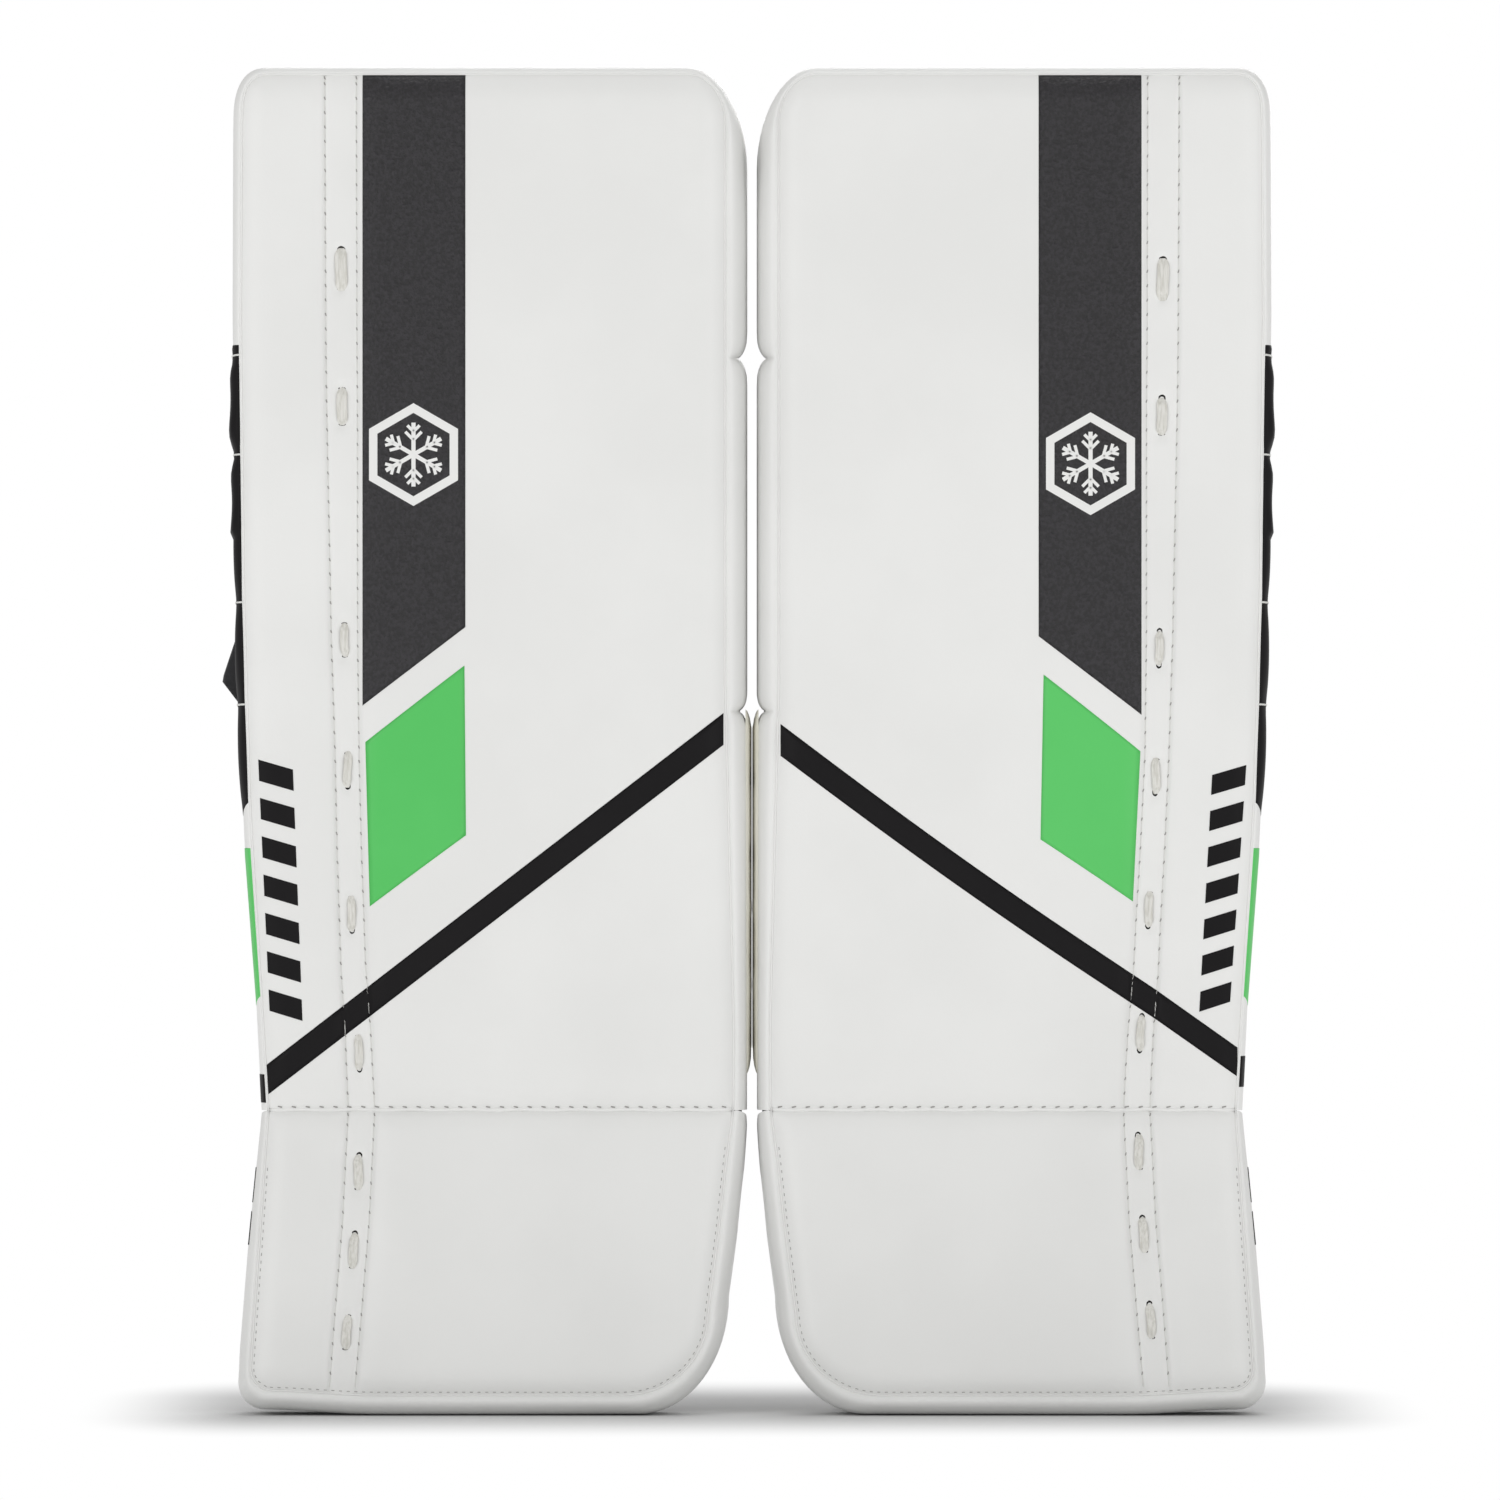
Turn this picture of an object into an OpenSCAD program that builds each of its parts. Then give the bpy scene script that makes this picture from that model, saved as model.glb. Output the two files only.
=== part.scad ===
// A pair of goalie leg pads for ice hockey, junior size, standing upright side by side.
// Millimetres. +X is to the viewer's right, +Y goes from the front face to the leg side,
// +Z is up. One generic pad is drawn on the +X side and mirrored for the left one.
// Inside a pad, y = 0 is the front face and x = 0 is the plane between the two pads.

/* [Pad] */
// Height of a pad
pad_h = 737; // [725:1:745]
// Thickness of the padded slab, face to back
slab_t = 60; // [52:1:64]
// Height of the break above the knee
knee_break_z = 578; // [574:1:584]
// Height of the seam between shin and boot
boot_break_z = 165; // [163:1:168]
// How far the boot leans forward, in degrees
boot_lean = 16; // [12:1:18]
// Angle cut away on each side of the knee break, in degrees
break_relief = 5; // [4.5:0.5:8]

/* [Cover] */
// Thickness of the leather-like cover
cover_t = 2.5; // [2:0.1:3]
// Gap between a cover and the foam inside it
cover_gap = 0.2; // [0.1:0.1:0.4]
// Thickness of a coloured inlay sewn on the face
inlay_t = 0.8; // [0.4:0.1:1]
// Width of the sunken lace channel
channel_w = 16; // [14:0.5:20]
// Depth of the lace channel
channel_d = 0.8; // [0.4:0.1:1]

/* [Lace] */
// Width of the flat lace
lace_w = 6.5; // [5:0.1:7]
// Thickness of the flat lace
lace_t = 2; // [1.5:0.1:2.2]
// Length of each lace segment on the face
lace_len = 25; // [22:0.5:28]

/* [Leg side] */
// Thickness of the outer wings
wing_t = 12; // [10:0.5:14]
// Thickness of the inner calf wing
inner_wing_t = 18; // [14:0.5:18]
// How far back the calf wings reach
calf_wing_y = 165; // [150:1:170]
// How far back the knee wing and knee block reach
knee_wing_y = 145; // [130:1:150]
// Thickness of the straps
strap_t = 2.5; // [2:0.1:3]
// Width of the knee and calf straps
strap_w = 50; // [38:1:50]
// Width of the boot strap
boot_strap_w = 38; // [32:1:40]

/* [Pins] */
// Radius of the toe bridge pin
toe_pin_r = 3; // [2.5:0.1:3.5]
// Radius of the rivet post that holds the strap tab
rivet_r = 2.5; // [2:0.1:3]
// Radial running clearance of the pins
pin_clear = 0.07; // [0.05:0.01:0.1]

/* [Hidden] */
SIDES = ["left", "right"];
PIECES = [
    "thigh_core", "thigh_face", "thigh_casing", "thigh_stripe", "thigh_lace",
    "shin_core", "shin_board", "shin_face", "shin_casing", "shin_stripes",
    "green_inlay", "shin_lace", "knee_cradle", "shin_cradle", "knee_block",
    "boot_core", "boot_face", "boot_casing", "boot_lace", "boot_walls",
    "toe_bridge", "toe_strap", "knee_wing", "knee_strap", "inner_calf_wing",
    "outer_calf_wing", "calf_strap", "boot_strap", "strap_slider", "strap_tab"
];

$fn = 48;
eps = 0.01;
far = 400;

// The cover's edge lies this far from each break, so that the sections never rub.
break_gap = 0.3;
// The casing's front lip starts this far behind the face.
lip_y = 2;

// Edges of a pad as [height, x], from the floor up: the casing's and the face's.
casing_outer = [[0, 281], [34, 280], [89, 276], [165, 269], [226, 272], [304, 278],
                [390, 282], [600, 285], [737, 284.6]];
casing_inner = [[63, 13], [96, 8.5], [140, 4.5], [165, 3], [737, 3]];
face_outer = [[0, 274], [34, 273], [89, 269.6], [165, 265], [226, 268.7], [330, 275],
              [445, 278.4], [600, 280.2], [737, 279.4]];
face_inner = [[55, 24], [101, 18], [140, 13.7], [165, 10.4], [209, 10], [253, 11],
              [400, 14.8], [737, 14.8]];
face_low_z = 11;
face_top_z = pad_h - 4;
// Round upper corners as [width, height], inner and outer, and the boot's corners at the floor.
casing_corners = [[33, 54], [19, 30]];
face_corners = [[20, 26], [15, 22]];
casing_sweep = 49;
face_sweep = 46;
boot_heel_r = 12;

// Middle of the lace channel as [height, x], and the heights of the lace segments on each pad.
channel = [[0, 224.5], [67, 219.5], [105, 216.6], [165, 214], [209, 216], [242, 218.4],
           [308, 220.7], [423, 223.3], [588, 225], [737, 225.5]];
thigh_lace_z = [[626], [620.5]];
shin_lace_z = [[551, 423, 352, 273, 197], [545.5, 418.5, 348.5, 275.5, 207.5]];
boot_lace_z = [[131.5, 89, 45], [142.5, 97.5, 51]];
lace_hole_r = 2.9;
lace_riser_r = 2.4;
lace_reach = (lace_len - lace_w) / 2;
groove_w = 9;
groove_d = 4;

// Coloured inlays of the face as [x, height]. Those of the right pad are sewn a little lower,
// and its slash runs a little flatter.
inlay_drop = [0, 5];
stripe_left = 157;
stripe_right = 213;
stripe_low_left = 430;
stripe_low_right = 387;
green_points = [[158, 409], [156, 316], [209, 277], [213, 367]];
slash_points = [[[15.3, 383], [14.8, 365.5], [264.7, 174], [266.3, 190]],
                [[15.3, 377], [14.8, 359.5], [264.7, 185], [266.3, 199.5]]];

// Leg side: pieces behind the slab.
behind_y = slab_t;
hinge_y = slab_t + 1;
wing_y = slab_t + 2;
calf_inner_x = 0.4;
calf_outer_x = 218;
knee_outer_x = 216;
inner_calf_z = [188, 384];
outer_calf_z = [200, 372];
knee_z = [402, 570];
block_z = [392, 560];
calf_bend_r = 30;
knee_bend_r = 24;
strap_gap = 0.4;
calf_strap_y = calf_wing_y + strap_gap;
knee_strap_y = knee_wing_y + strap_gap;
calf_strap_z = 300;
knee_strap_z = 480;
strap_root_x = 186;
strap_end_x = 26;

// Boot: its walls stand on the floor behind the leaning slab.
wall_x = [62, 196];
wall_t = 22;
wall_rear_y = 104;
wall_top_z = 140;
boot_strap_y = wall_rear_y + strap_gap;
boot_strap_z = 70;
boot_root_x = 214;
boot_end_x = 66;
slider_x = 130;
slider_w = 34;
slider_rim = 4;
slider_clear = 0.3;

// Toe bridge and toe strap, in the leaning boot's frame.
bridge_x = [110, 170];
bridge_z = [14, 54];
bridge_t = 3;
ear_t = 5;
ear_r = 7.5;
pin_y = slab_t + 12;
pin_z = 24;
barrel_r = 5.5;
toe_len = 62;
toe_dip = 5.5;
toe_eye_r = 4;

// Strap tab: a free strap end held by a rivet.
tab_x = 250;
tab_z = 372;
tab_r = 17;
tab_y = slab_t + 1;
tab_points = [[43, 29], [29, 71], [-12, 12], [12, -12]];
tucked_turn = 142;

// The boot's front edge at the floor, and the shift that centres the pair front to back.
boot_front_y = -boot_break_z * tan(boot_lean) + lip_y / cos(boot_lean);
centre_y = (calf_strap_y + strap_t + boot_front_y) / 2;
toe_pin_place = boot_to_pad([pin_y, pin_z]);

// A point [y, z] of the upright boot, after the boot has leaned forward.
function boot_to_pad(p) = [
    p[0] * cos(boot_lean) + (p[1] - boot_break_z) * sin(boot_lean),
    boot_break_z - p[0] * sin(boot_lean) + (p[1] - boot_break_z) * cos(boot_lean)];
// Height in the upright boot at which depth y meets the level plane at height level.
function boot_foot_z(y, level) =
    boot_break_z + (level - boot_break_z + y * sin(boot_lean)) / cos(boot_lean);
function arc(cx, cz, rx, rz, from, to, steps = 8) =
    [for (i = [0:steps]) let (a = from + (to - from) * i / steps)
        [cx + rx * cos(a), cz + rz * sin(a)]];
// The points of an edge between two heights, moved inward by inset.
function edge(table, low, high, inset) = concat(
    [[lookup(low, table) + inset, low]],
    [for (p = table) if (p[0] > low && p[0] < high) [p[1] + inset, p[0]]],
    [[lookup(high, table) + inset, high]]);
function reversed(list) = [for (i = [len(list) - 1:-1:0]) list[i]];

// The top section: round upper corners, the inner one larger. An inset trims the corners too.
function thigh_outline(inner, outer, top, inset, corners, low) =
    let (t = top - inset, xi = lookup(top, inner) + inset, xo = lookup(top, outer) - inset,
         a = corners[0] - [inset, inset], b = corners[1] - [inset, inset])
    concat(edge(inner, low, t - a[1], inset),
           arc(xi + a[0], t - a[1], a[0], a[1], 180, 90, 12),
           arc(xo - b[0], t - b[1], b[0], b[1], 90, 0, 10),
           reversed(edge(outer, low, t - b[1], -inset)));
function shin_outline(inner, outer, inset, low, high) =
    concat(edge(inner, low, high, inset), reversed(edge(outer, low, high, -inset)));
// The boot: a long sweep at its inner corner and a tight one at its outer corner.
function boot_outline(inner, outer, inset, low, sweep, high) =
    let (start = inner[0][0], xi = lookup(start, inner) + inset,
         xo = lookup(low, outer) - inset, r = boot_heel_r)
    concat(reversed(edge(inner, start, high, inset)),
           arc(xi + sweep, start, sweep, start - low, 180, 270),
           arc(xo - r, low + r, r, r, 270, 360),
           edge(outer, low + r, high, -inset));

// Draws an outline given as [x, height] between two depths.
module slab(points, y0, y1) {
    translate([0, y1, 0]) rotate([90, 0, 0]) linear_extrude(y1 - y0) polygon(points);
}
// Draws an outline given as [y, height] between two places across the pad.
module side_slab(points, x0, x1) {
    translate([x0, 0, 0]) rotate([90, 0, 90]) linear_extrude(x1 - x0) polygon(points);
}
module on_boot() {
    translate([0, 0, boot_break_z]) rotate([-boot_lean, 0, 0])
        translate([0, 0, -boot_break_z]) children();
}
// The leaning boot's volume between two depths, cut level near the floor.
module boot_body(y0, y1, top, level) {
    on_boot() side_slab([[y0, top], [y0, boot_foot_z(y0, level)],
                         [y1, boot_foot_z(y1, level)], [y1, top]], -eps, far);
}
// A block with its four edges along Y rounded.
module rounded_block(x, y, z, r) {
    w = x[1] - x[0];
    h = z[1] - z[0];
    slab(concat(arc(x[0] + r, z[0] + r, r, r, 180, 270, 6),
                arc(x[1] - r, z[0] + r, r, r, 270, 360, 6),
                arc(x[1] - r, z[1] - r, r, r, 0, 90, 6),
                arc(x[0] + r, z[1] - r, r, r, 90, 180, 6)), y[0], y[1]);
}
// A wing's plan: straight, then bent across the leg with a round tip.
module wing_plan(x, y_front, y_rear, thick, bend, tip) {
    translate([x, y_front]) square([thick, y_rear - bend - y_front]);
    translate([x + bend, y_rear - bend]) intersection() {
        difference() {
            circle(bend);
            circle(bend - thick);
        }
        translate([-bend, 0]) square(bend);
    }
    translate([x + bend - eps, y_rear - thick]) square([tip - thick / 2 - x - bend + 2 * eps, thick]);
    translate([tip - thick / 2, y_rear - thick / 2]) circle(thick / 2);
}
// A wing with its upper and lower rear corners rounded.
module wing(x, y_rear, z, thick, bend, tip) {
    r = 22;
    intersection() {
        translate([0, 0, z[0]]) linear_extrude(z[1] - z[0])
            wing_plan(x, wing_y, y_rear, thick, bend, tip);
        side_slab(concat([[wing_y - 1, z[0]]],
                         arc(y_rear - r, z[0] + r, r + eps, r, 270, 360, 6),
                         arc(y_rear - r, z[1] - r, r + eps, r, 0, 90, 6),
                         [[wing_y - 1, z[1]]]), -far, far);
    }
}
// A strap across the back, sewn at its root, with a square root and a round end.
module strap(root_x, end_x, y, z, width) {
    r = width / 2;
    slab(concat([[root_x, z - r], [root_x, z + r]],
                arc(end_x + r / 2, z + r - r / 2, r / 2, r / 2, 90, 180, 6),
                arc(end_x + r / 2, z - r + r / 2, r / 2, r / 2, 180, 270, 6)),
         y, y + strap_t);
    translate([root_x, y + strap_t / 2, z - r]) cylinder(h = width, r = strap_t / 2);
}
module channel_cut(low, high) {
    half = channel_w / 2;
    slab(concat(edge(channel, low, high, -half), reversed(edge(channel, low, high, half))),
         -2, channel_d);
}
module lace_holes(heights) {
    for (z = heights, end = [-1, 1])
        translate([lookup(z, channel), cover_t + 1, z + end * lace_reach])
            rotate([90, 0, 0]) cylinder(h = cover_t + 4, r = lace_hole_r);
}
// A flat bar with round ends, standing between two depths.
module lace_bar(x, z, length, y0, y1) {
    half = (length - lace_w) / 2;
    translate([x - lace_w / 2, y0, z - half]) cube([lace_w, y1 - y0, 2 * half]);
    for (end = [-half, half])
        translate([x, y1, z + end]) rotate([90, 0, 0]) cylinder(h = y1 - y0, r = lace_w / 2);
}
// Front segments, the risers through the holes and the hidden runs behind the face.
module lace(heights) {
    front = channel_d - lace_t - 0.2;
    back = cover_t + 2 * cover_gap + 2;
    for (z = heights) {
        lace_bar(lookup(z, channel), z, lace_len, front, front + lace_t);
        for (end = [-1, 1])
            translate([lookup(z, channel), back + lace_t / 2, z + end * lace_reach])
                rotate([90, 0, 0]) cylinder(h = back + lace_t / 2 - front - 1, r = lace_riser_r);
    }
    for (i = [1:1:len(heights) - 1]) {
        upper = [lookup(heights[i - 1], channel), heights[i - 1] - lace_reach];
        lower = [lookup(heights[i], channel), heights[i] + lace_reach];
        slab([[upper[0] - lace_w / 2, upper[1]], [upper[0] + lace_w / 2, upper[1]],
              [lower[0] + lace_w / 2, lower[1]], [lower[0] - lace_w / 2, lower[1]]],
             back, back + lace_t);
    }
}
// The groove in the foam that hides the lace's runs.
module lace_groove(heights) {
    top = heights[0] + lace_len / 2 + 2;
    low = heights[len(heights) - 1] - lace_len / 2 - 2;
    slab(concat(edge(channel, low, top, -groove_w / 2),
                reversed(edge(channel, low, top, groove_w / 2))),
         cover_t, core_front + groove_d);
}
core_front = lip_y + cover_t + cover_gap;
core_back = slab_t - cover_t - cover_gap;
// In front of the shoulder the foam is as narrow as the face, under the rolled edge.
core_shoulder_y = 19;
core_face_inset = 1;
core_inset = cover_t + cover_gap;
module under_face(points) {
    slab(points, -1, core_shoulder_y);
    slab([[-1, -1], [far, -1], [far, 2 * far], [-1, 2 * far]], core_shoulder_y - eps, slab_t);
}

// Everything above or below the knee break, cut away from the break at the relief angle.
module above_knee_break() {
    side_slab([[-9, knee_break_z + break_gap], [0, knee_break_z + break_gap],
               [far, knee_break_z + break_gap + far * tan(break_relief)],
               [far, 2 * far], [-9, 2 * far]], -far, far);
}
module below_knee_break() {
    side_slab([[-9, -9], [far, -9], [far, knee_break_z - break_gap - far * tan(break_relief)],
               [0, knee_break_z - break_gap], [-9, knee_break_z - break_gap]], -far, far);
}

// Thigh rise
thigh_low = knee_break_z - 2;
function thigh_shape(inset) =
    thigh_outline(casing_inner, casing_outer, pad_h, inset, casing_corners, thigh_low);
function thigh_face_shape(inset, low) =
    thigh_outline(face_inner, face_outer, face_top_z, inset, face_corners, low);

module thigh_face(pad) {
    color("white") difference() {
        slab(thigh_face_shape(0, knee_break_z + break_gap), 0, cover_t);
        channel_cut(knee_break_z - 5, pad_h + 5);
        lace_holes(thigh_lace_z[pad]);
    }
}
module thigh_casing() {
    color("whitesmoke") intersection() {
        difference() {
            slab(thigh_shape(0), lip_y, slab_t);
            slab(thigh_shape(cover_t), lip_y + cover_t, slab_t - cover_t);
            slab(thigh_face_shape(-cover_gap, thigh_low - 5), -1, lip_y + cover_t + 1);
        }
        above_knee_break();
    }
}
module thigh_core(pad) {
    color("khaki") intersection() {
        difference() {
            slab(thigh_shape(core_inset), core_front, core_back);
            lace_groove(thigh_lace_z[pad]);
        }
        under_face(thigh_face_shape(core_face_inset, thigh_low - 1));
        above_knee_break();
    }
}
module thigh_stripe() {
    color([0.13, 0.13, 0.14]) slab([[stripe_left, knee_break_z + break_gap],
        [stripe_right, knee_break_z + break_gap], [stripe_right, face_top_z],
        [stripe_left, face_top_z]], -inlay_t, 0);
}
module thigh_lace(pad) {
    color("ivory") lace(thigh_lace_z[pad]);
}

// Shin section
shin_low = boot_break_z + break_gap;
shin_top = knee_break_z + 2;
function shin_shape(inset) = shin_outline(casing_inner, casing_outer, inset, shin_low, shin_top);

module shin_face(pad) {
    color("white") difference() {
        slab(shin_outline(face_inner, face_outer, 0, shin_low, knee_break_z - break_gap),
             0, cover_t);
        channel_cut(boot_break_z - 5, knee_break_z + 5);
        lace_holes(shin_lace_z[pad]);
    }
}
module shin_casing() {
    color("whitesmoke") intersection() {
        difference() {
            slab(shin_shape(0), lip_y, slab_t);
            slab(shin_shape(cover_t), lip_y + cover_t, slab_t - cover_t);
            slab(shin_outline(face_inner, face_outer, -cover_gap, shin_low - 5, shin_top + 5),
                 -1, lip_y + cover_t + 1);
        }
        below_knee_break();
    }
    color("silver") tab_rivet();
}
// Post and head of the rivet that the strap tab turns on.
rivet_post = 4.5;
rivet_head_y = 3.8;
rivet_head_t = 1.5;
module tab_rivet() {
    translate([tab_x, slab_t - eps, tab_z]) rotate([-90, 0, 0]) {
        cylinder(h = rivet_post, r = rivet_r);
        translate([0, 0, rivet_head_y]) cylinder(h = rivet_head_t, r = 2 * rivet_r);
    }
}
board_x = [30, 255];
board_y = [40, 43];
board_z = [180, 540];
module shin_core(pad) {
    color("khaki") intersection() {
        difference() {
            slab(shin_shape(core_inset), core_front, core_back);
            lace_groove(shin_lace_z[pad]);
            rounded_block([board_x[0] - cover_gap, board_x[1] + cover_gap],
                          [board_y[0] - cover_gap, board_y[1] + cover_gap],
                          [board_z[0] - cover_gap, board_z[1] + cover_gap], 15);
        }
        under_face(shin_outline(face_inner, face_outer, core_face_inset, shin_low - 1, shin_top + 1));
        below_knee_break();
    }
}
// The stiff sheet inside the foam that keeps the shin flat.
module shin_board() {
    color("slategray") rounded_block(board_x, board_y, board_z, 15);
}
module shin_stripes(pad) {
    color([0.13, 0.13, 0.14]) {
        slab([[stripe_left, stripe_low_left - inlay_drop[pad]],
              [stripe_right, stripe_low_right - inlay_drop[pad]],
              [stripe_right, knee_break_z - break_gap], [stripe_left, knee_break_z - break_gap]],
             -inlay_t, 0);
        difference() {
            slab(slash_points[pad], -inlay_t, 0);
            channel_cut(boot_break_z, knee_break_z);
        }
    }
}
module green_inlay(pad) {
    color([0.33, 0.78, 0.38]) translate([0, 0, -inlay_drop[pad]]) slab(green_points, -inlay_t, 0);
}
module shin_lace(pad) {
    color("ivory") lace(shin_lace_z[pad]);
}
// A padded rest with a round bolster along each side.
module cradle(x, z, rise, bolster_r) {
    rounded_block(x, [behind_y, behind_y + rise], z, 12);
    intersection() {
        rounded_block(x, [behind_y, behind_y + rise + bolster_r], z, 12);
        for (side_x = [x[0] + bolster_r, x[1] - bolster_r])
            translate([side_x, behind_y + rise, z[0] - 1])
                cylinder(h = z[1] - z[0] + 2, r = bolster_r - 3);
    }
}
module knee_cradle() {
    color("gainsboro") cradle([76, 196], block_z, 9, 10);
}
module shin_cradle() {
    color("gainsboro") cradle([34, 202], [190, 384], 8, 11);
}
block_x = [4.5, 72];
block_edge_r = 12;
block_outer_r = 14;
block_inner_r = 10;
module knee_block() {
    color("ivory") intersection() {
        rounded_block(block_x, [behind_y, knee_wing_y], block_z, block_edge_r);
        translate([0, 0, block_z[0]]) linear_extrude(block_z[1] - block_z[0]) polygon(concat(
            [[block_x[0], behind_y], [block_x[1], behind_y]],
            arc(block_x[1] - block_outer_r, knee_wing_y - block_outer_r, block_outer_r, block_outer_r,
                0, 90, 6),
            arc(block_x[0] + block_inner_r, knee_wing_y - block_inner_r, block_inner_r, block_inner_r,
                90, 180, 6)));
    }
}

// Boot
boot_top = boot_break_z - break_gap;
function boot_shape(inset, low) =
    boot_outline(casing_inner, casing_outer, inset, low, casing_sweep, boot_break_z + 1);
function boot_face_shape(inset) =
    boot_outline(face_inner, face_outer, inset, face_low_z + inset, face_sweep, boot_break_z + 1);

module boot_face(pad) {
    color("white") difference() {
        intersection() {
            slab(boot_face_shape(0), -far, far);
            boot_body(0, cover_t, boot_top, 0);
        }
        on_boot() {
            channel_cut(-10, boot_break_z + 5);
            lace_holes(boot_lace_z[pad]);
        }
    }
}
module boot_casing() {
    color("whitesmoke") difference() {
        intersection() {
            slab(boot_shape(0, 0), -far, far);
            boot_body(lip_y, slab_t, boot_top, 0);
        }
        intersection() {
            slab(boot_shape(cover_t, cover_t), -far, far);
            boot_body(lip_y + cover_t, slab_t - cover_t, boot_top + 5, cover_t);
        }
        intersection() {
            slab(boot_face_shape(-cover_gap), -far, far);
            boot_body(-1, lip_y + cover_t + 1, boot_top + 5, 0);
        }
    }
}
module boot_core(pad) {
    color("khaki") difference() {
        intersection() {
            slab(boot_shape(core_inset, core_inset), -far, far);
            boot_body(core_front, core_back, boot_top, core_inset);
            union() {
                slab(boot_face_shape(core_face_inset), -far, far);
                boot_body(core_shoulder_y, slab_t, boot_break_z + 1, -1);
            }
        }
        on_boot() lace_groove(boot_lace_z[pad]);
    }
}
module boot_lace(pad) {
    color("ivory") on_boot() lace(boot_lace_z[pad]);
}
// Foam walls on both sides of the foot, standing level on the floor.
module boot_walls() {
    foot = boot_to_pad([slab_t, boot_foot_z(slab_t, 0)]);
    head = boot_to_pad([slab_t, boot_foot_z(slab_t, wall_top_z)]);
    color("whitesmoke") for (x = wall_x)
        side_slab([foot, [wall_rear_y - 12, 0], [wall_rear_y, 30], [wall_rear_y, 120],
                   [wall_rear_y - 14, 134], [head[0] + 6, wall_top_z], head], x, x + wall_t);
}
// Plate, ears and pin that the toe strap turns on.
module toe_bridge() {
    color("dimgray") on_boot() {
        rounded_block(bridge_x, [slab_t, slab_t + bridge_t], bridge_z, 3);
        for (x = [bridge_x[0] + 2, bridge_x[1] - 2 - ear_t]) {
            translate([x, pin_y, pin_z]) rotate([0, 90, 0]) cylinder(h = ear_t, r = ear_r);
            translate([x, slab_t + eps, pin_z - ear_r]) cube([ear_t, pin_y - slab_t, 2 * ear_r]);
        }
        translate([bridge_x[0] + 3, pin_y, pin_z]) rotate([0, 90, 0])
            cylinder(h = bridge_x[1] - bridge_x[0] - 6, r = toe_pin_r);
    }
}
module toe_strap() {
    half = (bridge_x[1] - bridge_x[0]) / 2 - 2 - ear_t - 0.5;
    middle = (bridge_x[0] + bridge_x[1]) / 2;
    color([0.13, 0.13, 0.14]) translate([middle, toe_pin_place[0], toe_pin_place[1]])
        rotate([-toe_dip, 0, 0]) difference() {
            union() {
                translate([-half, 0, 0]) rotate([0, 90, 0]) cylinder(h = 2 * half, r = barrel_r);
                translate([-half, 0, -strap_t / 2]) cube([2 * half, toe_len - half, strap_t]);
                translate([0, toe_len - half, -strap_t / 2]) cylinder(h = strap_t, r = half);
            }
            translate([-half - 1, 0, 0]) rotate([0, 90, 0])
                cylinder(h = 2 * half + 2, r = toe_pin_r + pin_clear);
            translate([0, toe_len - 12, -5]) cylinder(h = 10, r = toe_eye_r);
        }
}

// Wings and straps
module inner_calf_wing() {
    color("ivory") wing(calf_inner_x, calf_wing_y, inner_calf_z, inner_wing_t, calf_bend_r, 46);
}
module outer_calf_wing() {
    color("whitesmoke") translate([calf_outer_x, 0, 0]) mirror([1, 0, 0])
        wing(0, calf_wing_y, outer_calf_z, wing_t, calf_bend_r, 44);
}
module knee_wing() {
    color("whitesmoke") translate([knee_outer_x, 0, 0]) mirror([1, 0, 0])
        wing(0, knee_wing_y, knee_z, wing_t, knee_bend_r, 38);
}
module knee_strap() {
    color([0.13, 0.13, 0.14])
        strap(strap_root_x, strap_end_x, knee_strap_y, knee_strap_z, strap_w);
}
module calf_strap() {
    color([0.13, 0.13, 0.14])
        strap(strap_root_x, strap_end_x, calf_strap_y, calf_strap_z, strap_w);
}
module boot_strap() {
    color([0.13, 0.13, 0.14]) strap(boot_root_x, boot_end_x, boot_strap_y,
                                    boot_strap_z + boot_strap_w / 2, boot_strap_w);
}
// A flat frame that the boot strap runs through.
module strap_slider() {
    x0 = slider_x - slider_w / 2;
    color("dimgray") difference() {
        rounded_block([x0, x0 + slider_w],
                      [boot_strap_y - slider_clear - 1.5, boot_strap_y + strap_t + slider_clear + 1.5],
                      [boot_strap_z - slider_rim, boot_strap_z + boot_strap_w + slider_rim], 3);
        translate([x0 - 1, boot_strap_y - slider_clear, boot_strap_z - slider_clear])
            cube([slider_w + 2, strap_t + 2 * slider_clear, boot_strap_w + 2 * slider_clear]);
    }
}
module strap_tab(turn) {
    color([0.13, 0.13, 0.14]) translate([tab_x, tab_y, tab_z]) rotate([0, turn, 0])
        difference() {
            union() {
                slab(tab_points, 0, strap_t - 0.1);
                translate([0, strap_t - 0.1, 0]) rotate([90, 0, 0])
                    cylinder(h = strap_t - 0.1, r = tab_r);
            }
            translate([0, 10, 0]) rotate([90, 0, 0]) cylinder(h = 20, r = rivet_r + pin_clear);
        }
}

// Puts a generic pad's piece on its side of the pair and centres the pair front to back.
module on(side) {
    translate([0, -centre_y, 0]) mirror([side == "left" ? 1 : 0, 0, 0]) children();
}
for (side = SIDES) {
    pad = side == "left" ? 0 : 1;
    on(side) thigh_core(pad);
    on(side) thigh_face(pad);
    on(side) thigh_casing();
    on(side) thigh_stripe();
    on(side) thigh_lace(pad);
    on(side) shin_core(pad);
    on(side) shin_board();
    on(side) shin_face(pad);
    on(side) shin_casing();
    on(side) shin_stripes(pad);
    on(side) green_inlay(pad);
    on(side) shin_lace(pad);
    on(side) knee_cradle();
    on(side) shin_cradle();
    on(side) knee_block();
    on(side) boot_core(pad);
    on(side) boot_face(pad);
    on(side) boot_casing();
    on(side) boot_lace(pad);
    on(side) boot_walls();
    on(side) toe_bridge();
    on(side) toe_strap();
    on(side) knee_wing();
    on(side) knee_strap();
    on(side) inner_calf_wing();
    on(side) outer_calf_wing();
    on(side) calf_strap();
    on(side) boot_strap();
    on(side) strap_slider();
    on(side) strap_tab([0, tucked_turn][pad]);
}
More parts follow.
